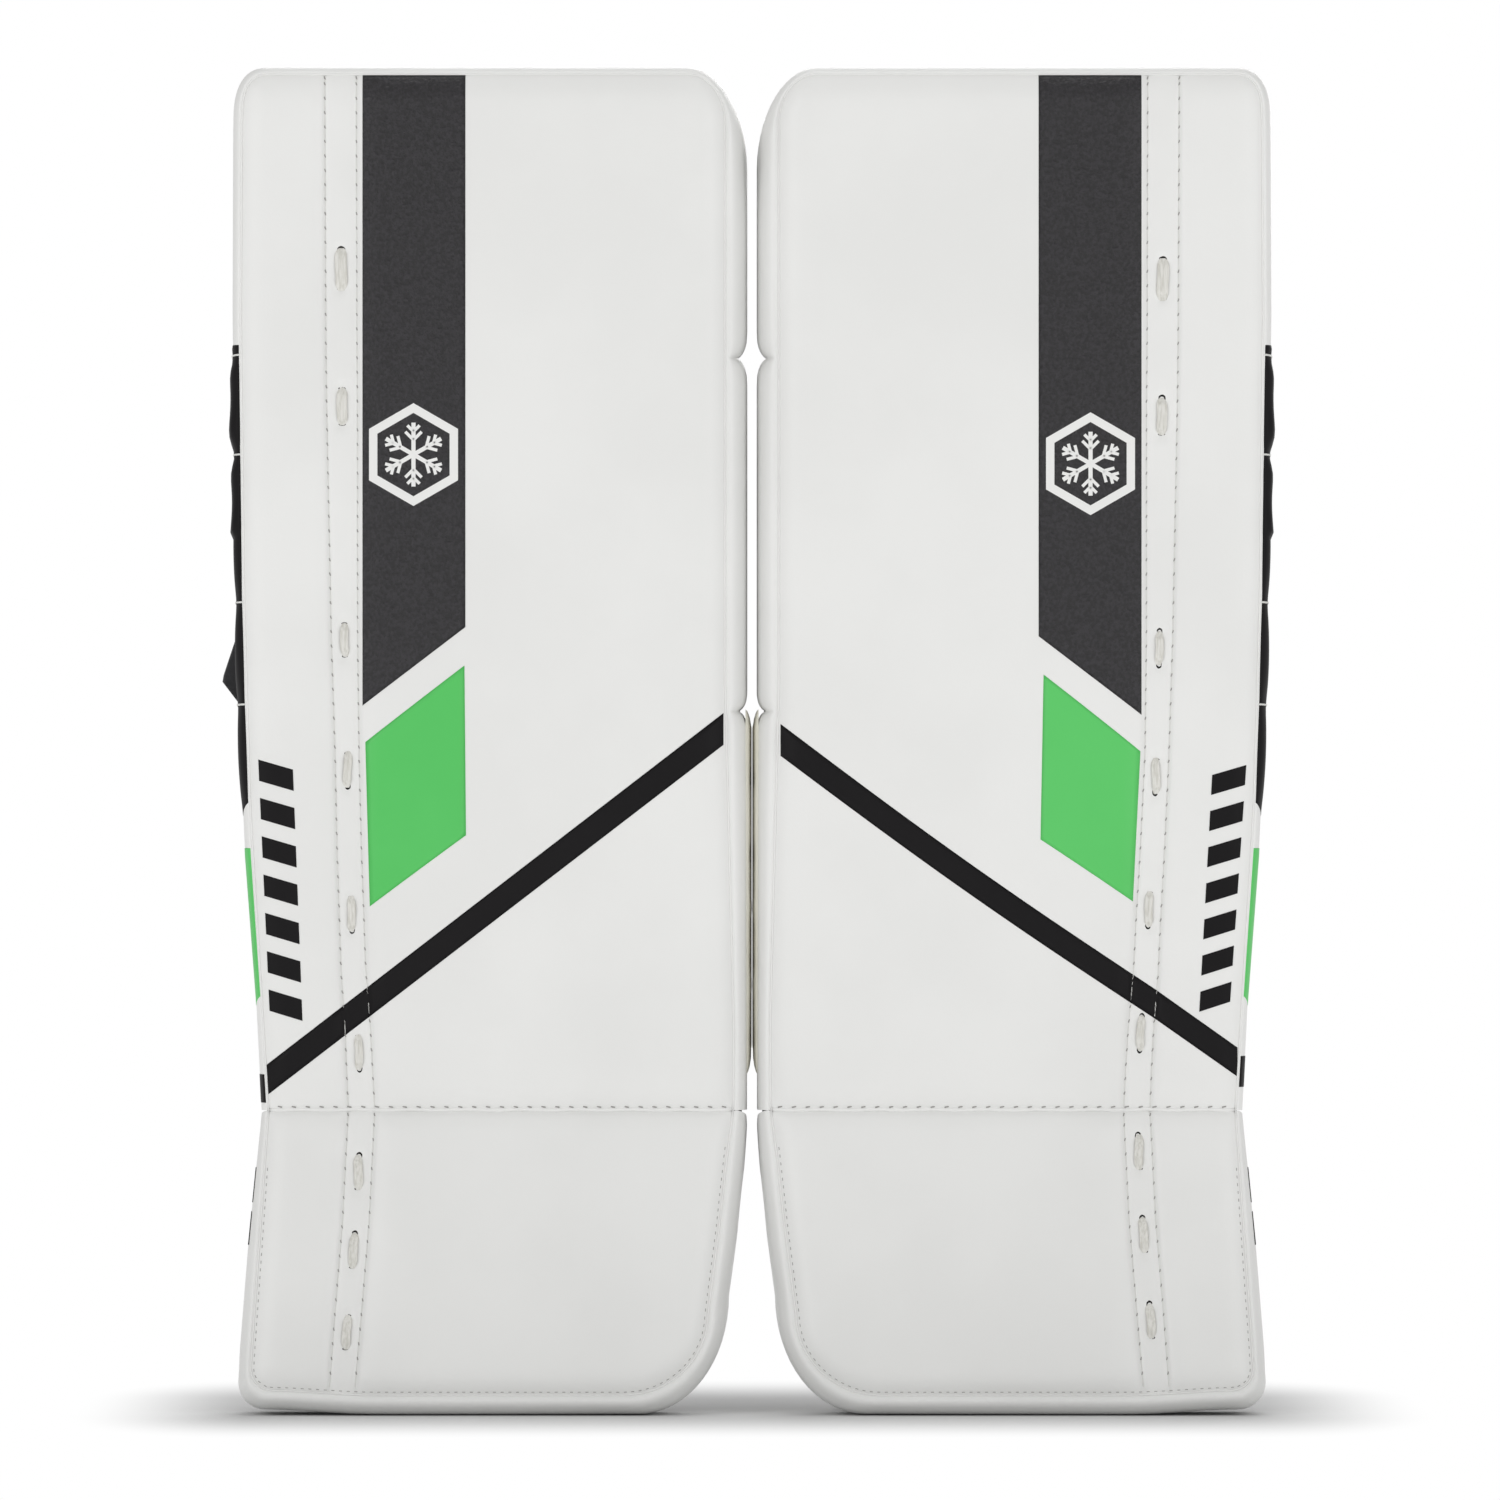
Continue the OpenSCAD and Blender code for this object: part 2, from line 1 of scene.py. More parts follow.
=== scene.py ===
import math
import random

import bmesh
import bpy
import numpy as np
from mathutils import Matrix, Vector
from mathutils.bvhtree import BVHTree


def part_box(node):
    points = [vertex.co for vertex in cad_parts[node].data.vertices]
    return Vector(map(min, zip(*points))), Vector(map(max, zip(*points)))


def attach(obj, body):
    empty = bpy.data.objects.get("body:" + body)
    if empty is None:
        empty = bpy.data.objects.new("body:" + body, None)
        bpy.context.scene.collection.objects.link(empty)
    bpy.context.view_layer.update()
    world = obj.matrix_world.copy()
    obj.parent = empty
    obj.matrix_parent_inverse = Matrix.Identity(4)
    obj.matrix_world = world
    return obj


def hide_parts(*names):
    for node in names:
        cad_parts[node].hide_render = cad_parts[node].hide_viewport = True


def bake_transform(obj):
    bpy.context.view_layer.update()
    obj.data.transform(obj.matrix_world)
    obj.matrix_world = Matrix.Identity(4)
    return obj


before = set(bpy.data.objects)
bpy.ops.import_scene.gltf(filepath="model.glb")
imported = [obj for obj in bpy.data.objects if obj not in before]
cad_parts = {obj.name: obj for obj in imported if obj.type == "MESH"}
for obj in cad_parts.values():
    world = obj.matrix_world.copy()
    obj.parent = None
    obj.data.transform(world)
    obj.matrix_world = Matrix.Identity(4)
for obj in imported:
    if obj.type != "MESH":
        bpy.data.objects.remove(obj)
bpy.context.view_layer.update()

# A pair of goalie leg pads. Lengths are in millimetres inside a pad: x from the plane between
# the pads, y back from the front of the face, z up from the floor. The left pad mirrors the right.
MM = 0.001
SIDES = {"left": -1, "right": 1}


def low(node):
    return [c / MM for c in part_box(node)[0]]


def high(node):
    return [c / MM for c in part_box(node)[1]]


FACE_Y = low("right_shin_face")[1]
PAD_TOP = high("right_thigh_casing")[2]
SLAB = high("right_thigh_casing")[1] - FACE_Y
BOOT_Z = low("right_shin_face")[2]
LEAN = math.atan(-(low("right_boot_face")[1] - FACE_Y) / (BOOT_Z - low("right_boot_face")[2]))
FACE_TOP = high("right_thigh_face")[2]
FACE_LOW = low("right_boot_face")[2]
BOOT_DEEP = SLAB / math.cos(LEAN)

# Edges of a pad as (heights, x): the outside of the casing and the seam of the face.
CASING_IN = ([0, 63, 96, 140, 165, 737], [26, 13, 8.5, 4.5, 3, 3])
CASING_OUT = ([0, 34, 89, 165, 226, 304, 390, 600, 737],
              [281, 280, 276, 269, 272, 278, 282, 285, 284.6])
SEAM_IN = ([0, 55, 101, 140, 165, 209, 253, 400, 737], [29, 24, 18, 13.7, 10.4, 10, 11, 14.8, 14.8])
SEAM_OUT = ([0, 34, 89, 165, 226, 330, 445, 600, 737],
            [274, 273, 269.6, 265, 268.7, 275, 278.4, 280.2, 279.4])
CHANNEL = ([0, 67, 105, 165, 209, 242, 308, 423, 588, 737],
           [224.5, 219.5, 216.6, 214, 216, 218.4, 220.7, 223.3, 225, 225.5])
CHANNEL_SHIFT = ([0, 190, 270, 360], [-3.0, -3.2, -2.2, 0])
# Half width of the lace channel by height.
CHANNEL_HALF = ([0, 60, 157, 250, 360, 420, 554, 737], [6.9, 7.3, 7.3, 6.8, 6.6, 7.2, 8.5, 8.7])

# Middles of the lace segments, from the top of a pad to its toe.
LACE_Z = {"left": (626, 551, 423, 352, 273, 197, 131.5, 89, 45),
          "right": (620.5, 545.5, 418.5, 348.5, 275.5, 207.5, 142.5, 97.5, 51)}
# Half length and half width of the visible lace by height.
LACE_REACH = ([0, 450, 551, 626], [8.5, 8.5, 9.4, 10.2])
LACE_HALF = ([0, 157, 197, 430, 551, 626], [2.45, 2.45, 2.2, 2.3, 2.9, 3.25])


# Which end of each lace segment gets a tall disc of painted shade for its hole, from the top: 1 upper, -1
# lower, 2 both; the other ends get a short one.
DARK_ENDS = {"left": (1, 0, 0, -1, -1, -1, 1, 1, 0), "right": (1, 1, 2, -1, -1, 2, 1, 1, 1)}


class Pad:
    """The pad being made: its side and the heights of its lace segments."""

    def begin(self, side):
        self.side, self.lace_z, self.dark_ends = side, LACE_Z[side], DARK_ENDS[side]


pad = Pad()


def channel_x(z):
    """Middle of the lace channel; the right pad's leans a little further in at the foot."""
    return along(CHANNEL, z) + (along(CHANNEL_SHIFT, z) if pad.side == "right" else 0)
pad.begin("left")


def along(table, z):
    return np.interp(z, table[0], table[1])


def arc(cx, cz, rx, rz, start, end, steps=10):
    angles = np.radians(np.linspace(start, end, steps + 1))
    return [(cx + rx * math.cos(a), cz + rz * math.sin(a)) for a in angles]


def spaced(start, end, step, finer=()):
    """Heights from start to end, closer together around the places in finer."""
    count = max(2, int(abs(end - start) / step) + 1)
    values = list(np.linspace(start, end, count))
    for place in finer:
        values += [place + o for o in (-9, -6, -4, -2.5, -1.2, -0.4, 0.4, 1.2, 2.5, 4, 6, 9)]
    lo, hi = min(start, end), max(start, end)
    kept = sorted({round(v, 3) for v in values if lo <= v <= hi})
    return kept if end > start else kept[::-1]


# ---------------------------------------------------------------- meshes

def make_piece(name, side, points, faces, finish, smooth=True):
    """A mesh on one pad. The left one is mirrored, so its faces turn round."""
    s = SIDES[side]
    verts = [(s * x * MM, (y + FACE_Y) * MM, z * MM) for x, y, z in points]
    mesh = bpy.data.meshes.new(f"{side}_{name}")
    mesh.from_pydata(verts, [], [f if s > 0 else f[::-1] for f in faces])
    mesh.materials.append(finish)
    mesh.polygons.foreach_set("use_smooth", [smooth] * len(mesh.polygons))
    mesh.update()
    piece = bpy.data.objects.new(f"{side}_{name}", mesh)
    bpy.context.scene.collection.objects.link(piece)
    return piece


def sheet_faces(rows, columns, first=0, ring=False):
    """Quads over rows of points; with ring, each row closes on itself."""
    span = columns if ring else columns - 1
    return [(first + r * columns + c, first + r * columns + (c + 1) % columns,
             first + (r + 1) * columns + (c + 1) % columns, first + (r + 1) * columns + c)
            for r in range(rows - 1) for c in range(span)]


class Bits:
    """Several small shapes that are joined into one mesh."""

    def __init__(self):
        self.points, self.faces = [], []

    def add(self, points, faces):
        start = len(self.points)
        self.points += [tuple(p) for p in points]
        self.faces += [tuple(start + i for i in f) for f in faces]

    def rows(self, rows, ring=False):
        columns = len(rows[0])
        self.add([p for row in rows for p in row], sheet_faces(len(rows), columns, 0, ring))

    def tube(self, path, radius, sides=8, flat=1.0):
        """A round bar along a path, with closed ends; flat squeezes it front to back."""
        path = [np.array(p, float) for p in path]
        rings = []
        for i, p in enumerate(path):
            t = path[min(i + 1, len(path) - 1)] - path[max(i - 1, 0)]
            t = t / (np.linalg.norm(t) or 1)
            side = np.cross(t, (0, -1, 0))
            if np.linalg.norm(side) < 1e-3:
                side = np.cross(t, (0, 0, 1))
            side = side / np.linalg.norm(side)
            up = np.cross(side, t)
            r = radius[i] if hasattr(radius, "__len__") else radius
            rings.append([tuple(p + r * (math.cos(a) * side + flat * math.sin(a) * up))
                          for a in np.linspace(0, 2 * math.pi, sides, endpoint=False)])
        start = len(self.points)
        self.rows(rings, ring=True)
        self.faces.append(tuple(start + i for i in range(sides))[::-1])
        self.faces.append(tuple(start + (len(rings) - 1) * sides + i for i in range(sides)))

    def piece(self, name, side, finish, smooth=True):
        return make_piece(name, side, self.points, self.faces, finish, smooth)


# ---------------------------------------------------------------- finishes

class Value:
    """A shader socket that can be used in a Python expression."""

    def __init__(self, finish, socket):
        self.finish, self.socket = finish, socket

    def math(self, operation, *others):
        inputs = {i + 1: o for i, o in enumerate(others)}
        return self.finish.node("ShaderNodeMath", {"operation": operation}, {0: self, **inputs})

    def __add__(self, other):
        return self.math("ADD", other)

    def __sub__(self, other):
        return self.math("SUBTRACT", other)

    def __rsub__(self, other):
        return self.finish.node("ShaderNodeMath", {"operation": "SUBTRACT"}, {0: other, 1: self})

    def __mul__(self, other):
        return self.math("MULTIPLY", other)

    def __truediv__(self, other):
        return self.math("DIVIDE", other)

    def __pow__(self, other):
        return self.math("POWER", other)

    __radd__ = __add__
    __rmul__ = __mul__

    def band(self, start, end, out=(0, 1)):
        """Smoothly from out[0] to out[1] as the value goes from start to end."""
        return self.finish.node(
            "ShaderNodeMapRange", {"interpolation_type": "SMOOTHSTEP"},
            {"Value": self, "From Min": start, "From Max": end, "To Min": out[0], "To Max": out[1]},
            "Result")


class Finish:
    """A procedural material around one Principled shader."""

    def __init__(self, name, colour, roughness, **fixed):
        self.material = bpy.data.materials.new(name)
        self.material.use_nodes = True
        self.tree = self.material.node_tree
        self.shader = self.tree.nodes["Principled BSDF"]
        self.shader.inputs["Base Color"].default_value = (*colour, 1)
        self.shader.inputs["Roughness"].default_value = roughness
        for socket, value in fixed.items():
            self.shader.inputs[socket.replace("_", " ")].default_value = value
        self.height = None

    def link(self, value, socket):
        if isinstance(value, Value):
            self.tree.links.new(value.socket, socket)
        elif hasattr(value, "__len__") and len(value) == 3 and socket.type == "RGBA":
            socket.default_value = (*value, 1)
        else:
            socket.default_value = value

    def node(self, kind, settings=(), inputs=(), output=0):
        made = self.tree.nodes.new(kind)
        for key, value in dict(settings).items():
            setattr(made, key, value)
        for key, value in dict(inputs).items():
            self.link(value, made.inputs[key])
        return Value(self, made.outputs[output])

    def place(self, scale=(1, 1, 1), turn=(0, 0, 0)):
        """Object coordinates in metres, scaled."""
        where = self.node("ShaderNodeTexCoord", output="Object")
        return self.node("ShaderNodeMapping", {}, {"Vector": where, "Scale": scale, "Rotation": turn})

    def noise(self, scale, detail=3, stretch=(1, 1, 1), rough=0.5, turn=(0, 0, 0)):
        return self.node("ShaderNodeTexNoise", {}, {
            "Vector": self.place(stretch, turn), "Scale": scale, "Detail": detail, "Roughness": rough})

    def cells(self, scale, stretch=(1, 1, 1), feature="F1", output="Distance"):
        return self.node("ShaderNodeTexVoronoi", {"feature": feature},
                         {"Vector": self.place(stretch), "Scale": scale}, output)

    def waves(self, scale, direction="X", stretch=(1, 1, 1), turn=(0, 0, 0), distortion=0):
        return self.node("ShaderNodeTexWave", {"bands_direction": direction, "wave_profile": "SIN"},
                         {"Vector": self.place(stretch, turn), "Scale": scale, "Distortion": distortion})

    def mix(self, share, first, second):
        return self.node("ShaderNodeMix", {"data_type": "RGBA"},
                         {0: share, 6: first, 7: second}, 2)

    def colour(self, value):
        self.link(value, self.shader.inputs["Base Color"])

    def rough(self, value):
        self.link(value, self.shader.inputs["Roughness"])

    def bump(self, height, depth_mm, strength=1.0):
        """Relief whose full height is depth_mm; calls add up."""
        inputs = {"Height": height, "Distance": depth_mm * MM, "Strength": strength}
        if self.height is not None:
            inputs["Normal"] = self.height
        self.height = self.node("ShaderNodeBump", {}, inputs)
        self.link(self.height, self.shader.inputs["Normal"])


def cover_leather(name, colour, shade, roughness=0.42, gloss=0.42):
    """Smooth coated leather: a faint pebble, soft blotches and a slightly uneven gloss."""
    f = Finish(name, colour, roughness, Specular_IOR_Level=gloss)
    blotch = f.noise(9, 4).band(0.35, 0.7)
    f.colour(f.mix(blotch, colour, shade))
    f.rough(f.noise(60, 3) * 0.10 + (roughness - 0.05))
    f.bump(f.cells(900, feature="SMOOTH_F1"), 0.05, 0.5)
    f.bump(f.noise(26, 3), 0.5, 0.35)
    return f.material


def grained_leather(name, colour, shade):
    """Black leather with a fine pebble and short wandering creases; its colour is darker down in the creases,
    painted shade.
    """
    f = Finish(name, colour, 0.36, Specular_IOR_Level=0.50)
    pebble = f.cells(620, (1, 1, 0.8), "SMOOTH_F1")
    wrinkle = f.noise(520, 4, (1.0, 1.0, 0.9), 0.6, (0, 0.3, 0))
    crease = f.noise(110, 5, (0.6, 1, 1.5), 0.66)
    # Painted shade: the colour follows the wrinkle relief, darkest where it is lowest.
    f.colour(f.mix(wrinkle.band(0.4, 0.62), colour, shade))
    f.rough(wrinkle.band(0.3, 0.7, (0.46, 0.30)))
    f.bump(pebble, 0.30, 0.8)
    f.bump(wrinkle, 0.60, 1.4)
    f.bump(crease, 0.60, 1.2)
    return f.material


WHITE = cover_leather("white_leather", (0.80, 0.80, 0.785), (0.77, 0.77, 0.755))
BOOT_WHITE = cover_leather("boot_leather", (0.79, 0.79, 0.775), (0.76, 0.76, 0.745))
CREAM = cover_leather("slide_leather", (0.80, 0.785, 0.70), (0.76, 0.74, 0.64), 0.34)
BLACK_GRAIN = grained_leather("grained_black", (0.0055, 0.0045, 0.0060), (0.0145, 0.0125, 0.0160))
BLACK = cover_leather("smooth_black", (0.0045, 0.0038, 0.0045), (0.0060, 0.0052, 0.0060), 0.5, 0.16)
GREEN_LEATHER = cover_leather("green_leather", (0.095, 0.565, 0.125), (0.080, 0.530, 0.108), 0.40)


PRINT_WHITE = cover_leather("printed_white", (0.80, 0.80, 0.785), (0.77, 0.77, 0.755), 0.45)


def woven_finish(name, colour, shade, count, depth_mm, roughness=0.8, sheen=0.0):
    """Plain weave: warp and weft bands that cross, with a little lint."""
    f = Finish(name, colour, roughness, Sheen_Weight=sheen)
    warp = f.waves(count, "X")
    weft = f.waves(count, "Z")
    weave = warp * weft + (1 - warp) * (1 - weft)
    lint = f.noise(420, 3)
    f.colour(f.mix((weave * 0.6 + lint * 0.5).band(0.3, 0.9), shade, colour))
    f.bump(weave, depth_mm, 0.8)
    f.bump(lint, depth_mm, 0.3)
    return f.material


NYLON = woven_finish("back_nylon", (0.030, 0.030, 0.033), (0.012, 0.012, 0.014), 190, 0.25, 0.75, 0.2)


def webbing_finish():
    """Black polyester webbing: tight ribs across it and a fine twill."""
    f = Finish("black_webbing", (0.018, 0.018, 0.020), 0.62, Sheen_Weight=0.25)
    rib = f.waves(330, "X")
    pick = f.waves(430, "Z")
    weave = rib * pick + (1 - rib) * (1 - pick)
    f.colour(f.mix((weave * 0.7 + f.noise(300, 3) * 0.4).band(0.3, 0.9),
                   (0.010, 0.010, 0.011), (0.045, 0.045, 0.050)))
    f.bump(weave, 0.35, 0.9)
    return f.material


def knit_finish():
    """Dark spacer knit of the leg rests: rows of small open cells."""
    f = Finish("liner_knit", (0.035, 0.036, 0.040), 0.85, Sheen_Weight=0.35)
    cell = f.cells(330, (1, 0.3, 0.75), "F1")
    f.colour(f.mix(cell.band(0.15, 0.55), (0.010, 0.010, 0.012), (0.060, 0.062, 0.068)))
    f.bump(cell, 0.7, 0.9)
    f.bump(f.noise(700, 2), 0.15, 0.5)
    return f.material


def plastic_finish(name, colour, roughness):
    """Moulded plastic with a fine spark-eroded grain."""
    f = Finish(name, colour, roughness, Specular_IOR_Level=0.45)
    grain = f.noise(1500, 3)
    f.rough(grain * 0.16 + (roughness - 0.08))
    f.bump(grain, 0.06, 0.5)
    return f.material


def steel_finish():
    """Nickel-plated steel with faint turning marks."""
    f = Finish("plated_steel", (0.62, 0.61, 0.59), 0.28, Metallic=1.0)
    f.rough(f.noise(300, 3) * 0.14 + 0.2)
    f.bump(f.noise(800, 2, (1, 0.1, 1)), 0.03, 0.4)
    return f.material


WEBBING = webbing_finish()
LINER = knit_finish()
PLASTIC = plastic_finish("black_moulding", (0.016, 0.016, 0.018), 0.42)
BOARD = plastic_finish("shin_board_sheet", (0.14, 0.15, 0.17), 0.5)
STEEL = steel_finish()
PAD_WHITE = cover_leather("wing_leather", (0.77, 0.77, 0.76), (0.73, 0.73, 0.72), 0.45)


def thread_finish(name, colour):
    f = Finish(name, colour, 0.6)
    f.bump(f.waves(1500, "DIAGONAL"), 0.1, 0.6)
    return f.material


THREAD = thread_finish("white_thread", (0.74, 0.74, 0.71))
DARK_THREAD = thread_finish("dark_thread", (0.16, 0.16, 0.17))
GREY_THREAD = thread_finish("grey_thread", (0.32, 0.32, 0.33))
# Painted shade: grey colour for the needle marks, standing for the shadow in the needle holes.
HOLE = Finish("needle_hole_shade", (0.34, 0.335, 0.32), 0.9).material
# Painted shade: near-black colour for the discs that stand for the shadow in the lace holes.
DARK = Finish("lace_hole_painted_shade", (0.012, 0.011, 0.010), 0.95).material


def lace_finish():
    """Waxed rawhide lace, off-white, with faint lengthwise fibres."""
    f = Finish("rawhide_lace", (0.70, 0.69, 0.65), 0.48)
    fibre = f.noise(900, 4, (1, 1, 0.12))
    f.colour(f.mix(fibre.band(0.35, 0.7), (0.72, 0.71, 0.67), (0.58, 0.57, 0.52)))
    f.bump(fibre, 0.18, 0.6)
    return f.material


LACE = lace_finish()


# ---------------------------------------------------------------- shape of the covers

def rounding(distance, width, power=2.4):
    """0 at a seam, rising to 1 at that distance from it."""
    t = np.clip(np.asarray(distance, float) / width, 0, 1)
    return 1 - (1 - t) ** power


def outline_arrays(line):
    """A line of [x, z] points as arrays of segment starts, runs and squared lengths."""
    points = np.array(line, float)
    run = np.diff(points, axis=0)
    size = (run**2).sum(1)
    keep = size > 1e-9
    return points[:-1][keep], run[keep], size[keep]


def distance_to(x, z, outline):
    """Distance from points to an outline made by outline_arrays."""
    start, run, size = outline
    px = np.asarray(x, float)[..., None] - start[:, 0]
    pz = np.asarray(z, float)[..., None] - start[:, 1]
    t = np.clip((px * run[:, 0] + pz * run[:, 1]) / size, 0, 1)
    return np.sqrt(((px - t * run[:, 0]) ** 2 + (pz - t * run[:, 1]) ** 2).min(-1))


# Round upper corners as (width, height): of the face's seam and of the casing.
FACE_IN, FACE_OUT = (20, 26), (15, 22)
CASE_IN, CASE_OUT = (33, 54), (19, 30)
TOE_P = (13, 63, 49)           # where the boot's long inner sweep starts: x, height, width
TOE_Q = (24, 55, 46)
HEEL_R, HEEL_SEAM_R = 15, 12   # tighter outer corner at the floor
SOLE_LIFT = 2.6                 # the sole's outer end is off the floor by this much
NOTCHES = ((578, 6.5, 13), (384, 5.5, 10))  # pinches of the inner gusset: height, depth, half width


def corner(x, z, size, start, end, steps=14):
    """A rounded corner from its own centre, a little squarer than an ellipse when it is the outer."""
    power = 0.8 if end == 0 else 1.0
    found = []
    for px, pz in arc(x, z, size[0], size[1], start, end, steps):
        u, v = (px - x) / size[0], (pz - z) / size[1]
        found.append((x + size[0] * math.copysign(abs(u) ** power, u),
                      z + size[1] * math.copysign(abs(v) ** power, v)))
    return found


def upper_stations():
    """Seam and casing points in step, up the inner side, over the top and down the outer side."""
    seam, case = [], []
    p_end, q_end = PAD_TOP - CASE_IN[1], FACE_TOP - FACE_IN[1]
    for z in spaced(BOOT_Z, p_end, 6, [n[0] for n in NOTCHES]):
        case.append((along(CASING_IN, z), z))
        zq = z + (q_end - p_end) * max(0, (z - 640) / (p_end - 640)) ** 1.5
        seam.append((along(SEAM_IN, zq), zq))
    x_case, x_seam = along(CASING_IN, PAD_TOP), along(SEAM_IN, PAD_TOP)
    case += corner(x_case + CASE_IN[0], p_end, CASE_IN, 180, 90)[1:]
    seam += corner(x_seam + FACE_IN[0], q_end, FACE_IN, 180, 90)[1:]
    case_x = along(CASING_OUT, PAD_TOP) - CASE_OUT[0]
    seam_x = along(SEAM_OUT, PAD_TOP) - FACE_OUT[0]
    first_case, first_seam = case[-1][0], seam[-1][0]
    for t in np.linspace(0, 1, 40)[1:]:
        case.append((first_case + t * (case_x - first_case), PAD_TOP))
        seam.append((first_seam + t * (seam_x - first_seam), FACE_TOP))
    p_low, q_low = PAD_TOP - CASE_OUT[1], FACE_TOP - FACE_OUT[1]
    case += corner(case_x, p_low, CASE_OUT, 90, 0)[1:]
    seam += corner(seam_x, q_low, FACE_OUT, 90, 0)[1:]
    for z in spaced(p_low - 5, BOOT_Z, 6):
        case.append((along(CASING_OUT, z), z))
        zq = z + (q_low - p_low) * max(0, (z - 600) / (p_low - 600)) ** 1.5
        seam.append((along(SEAM_OUT, zq), zq))
    return seam, case


def boot_stations():
    """The same around the boot: down the inner side, along the floor and up the outer side."""
    seam, case = [], []
    for t in np.linspace(0, 1, 22):
        zp = BOOT_Z + (TOE_P[1] - BOOT_Z) * t
        zq = BOOT_Z + (TOE_Q[1] - BOOT_Z) * t
        case.append((along(CASING_IN, zp), zp))
        seam.append((along(SEAM_IN, zq), zq))
    case += arc(TOE_P[0] + TOE_P[2], TOE_P[1], TOE_P[2], TOE_P[1], 180, 270, 16)[1:]
    seam += arc(TOE_Q[0] + TOE_Q[2], TOE_Q[1], TOE_Q[2], TOE_Q[1] - FACE_LOW, 180, 270, 16)[1:]
    p0, q0 = TOE_P[0] + TOE_P[2], TOE_Q[0] + TOE_Q[2]
    p1, q1 = along(CASING_OUT, 12) - HEEL_R, along(SEAM_OUT, 20) - HEEL_SEAM_R
    for t in np.linspace(0, 1, 36)[1:]:
        x = p0 + t * (p1 - p0)
        case.append((x, sole_lift(x)))
        x = q0 + t * (q1 - q0)
        seam.append((x, FACE_LOW + sole_lift(x)))
    lift = sole_lift(p1)
    case += arc(p1, HEEL_R + lift, HEEL_R, HEEL_R, 270, 360, 8)[1:]
    lift = sole_lift(q1)
    seam += arc(q1, FACE_LOW + HEEL_SEAM_R + lift, HEEL_SEAM_R, HEEL_SEAM_R, 270, 360, 8)[1:]
    p_low, q_low = case[-1][1], seam[-1][1]
    for t in np.linspace(0, 1, 26)[1:]:
        case.append((along(CASING_OUT, p_low + (BOOT_Z - p_low) * t), p_low + (BOOT_Z - p_low) * t))
        seam.append((along(SEAM_OUT, q_low + (BOOT_Z - q_low) * t), q_low + (BOOT_Z - q_low) * t))
    return seam, case


def sole_lift(x):
    """How far the sole's edge is off the floor at x."""
    t = np.clip((x - 205) / 60, 0, 1)
    return float(SOLE_LIFT * t * t * (3 - 2 * t))


UPPER_SEAM, UPPER_CASE = upper_stations()
BOOT_SEAM, BOOT_CASE = boot_stations()
UPPER_OUTLINE, BOOT_OUTLINE = outline_arrays(UPPER_SEAM), outline_arrays(BOOT_SEAM)
SEAM_Y = 1.5         # depth of the seam between face and gusset
PANEL_RISE = 6.0     # how far the main panel stands proud of its seam
ROLL_RISE = 4.6      # and the outer roll
CHANNEL_RISE = 2.4   # and the lace channel


def lace_dimples(x, z):
    """How far the lace pulls the channel in."""
    depth = np.zeros(np.broadcast(x, z).shape)
    if not np.any(np.abs(x - channel_x(z)) < 14):
        return depth
    for height in pad.lace_z:
        middle = channel_x(height)
        past = np.maximum(np.abs(z - height) - 8, 0)
        depth = depth + 1.1 * np.exp(-((x - middle) / 4.6) ** 2 - (past / 4.5) ** 2)
        for end in (-1, 1):
            r2 = (x - middle) ** 2 + (z - height - end * along(LACE_REACH, height)) ** 2
            depth = depth + 0.9 * np.exp(-r2 / 9)
    return depth


def cover_rise(x, z, outline):
    """How far the face stands proud of its seam, at x and height z."""
    x, z = np.asarray(x, float), np.asarray(z, float)
    edge = rounding(distance_to(x, z, outline), 16)
    middle = channel_x(z)
    past = np.abs(x - middle) - along(CHANNEL_HALF, z)
    fold = 0.5 + 0.5 * rounding(np.abs(z - BOOT_Z), 13)
    main = PANEL_RISE * edge * (0.42 + 0.58 * rounding(past, 17)) * fold
    roll = ROLL_RISE * edge * (0.56 + 0.44 * rounding(past, 9)) * fold
    floor = CHANNEL_RISE * edge * fold
    rise = np.where(x < middle, main, roll)
    rise = np.where(past < 0, floor + 0.25 * np.cos(np.clip((x - middle) / 8, -1, 1) * 1.57), rise)
    wave = np.sin(z * 0.19 + 1.3 * np.sin(z * 0.043) + np.sign(x - middle))
    pucker = 0.20 * wave * np.exp(-(past / 6) ** 2)
    groove = 0.80 * np.exp(-(past / 1.0) ** 2) + pucker
    seam = 0.7 * np.exp(-((z - BOOT_Z) / 1.3) ** 2)
    return rise - groove - seam - lace_dimples(x, z)


def upper_y(x, z):
    """Depth of the front cover above the boot seam."""
    return SEAM_Y - cover_rise(x, z, UPPER_OUTLINE)


def boot_y(x, z, depth=0.0):
    """Depth of the leaning boot's front cover, or of a place that far behind its front plane."""
    lean = -(BOOT_Z - np.asarray(z, float)) * math.tan(LEAN)
    return lean + (SEAM_Y - cover_rise(x, z, BOOT_OUTLINE)) / math.cos(LEAN) + depth


def columns_across(start, end, step, margins=(0, 0.7, 1.6, 2.8, 4.4, 6.4, 9, 12.5)):
    """Shares of a width, closer together at both edges."""
    width = end - start
    inner = np.linspace(margins[-1], width - margins[-1], max(3, int(width / step)))
    places = list(margins[:-1]) + list(inner) + [width - m for m in margins[-2::-1]]
    return [p / width for p in places]


MAIN_SHARES = columns_across(12, 208, 4.6)
ROLL_SHARES = columns_across(224, 279, 4.6, (0, 0.7, 1.6, 2.8, 4.4, 6.4, 9))
CHANNEL_SHARES = [0, 0.05, 0.12, 0.22, 0.32, 0.41, 0.5, 0.59, 0.68, 0.78, 0.88, 0.95, 1]


def row_across(z, left, right):
    """x places of one row of the face, between its inner and outer seams."""
    a, b = channel_x(z) - along(CHANNEL_HALF, z), channel_x(z) + along(CHANNEL_HALF, z)
    row = [left + s * (a - left) for s in MAIN_SHARES[:-1]]
    row += [a + s * (b - a) for s in CHANNEL_SHARES]
    row += [b + s * (right - b) for s in ROLL_SHARES[1:]]
    return np.array(row)


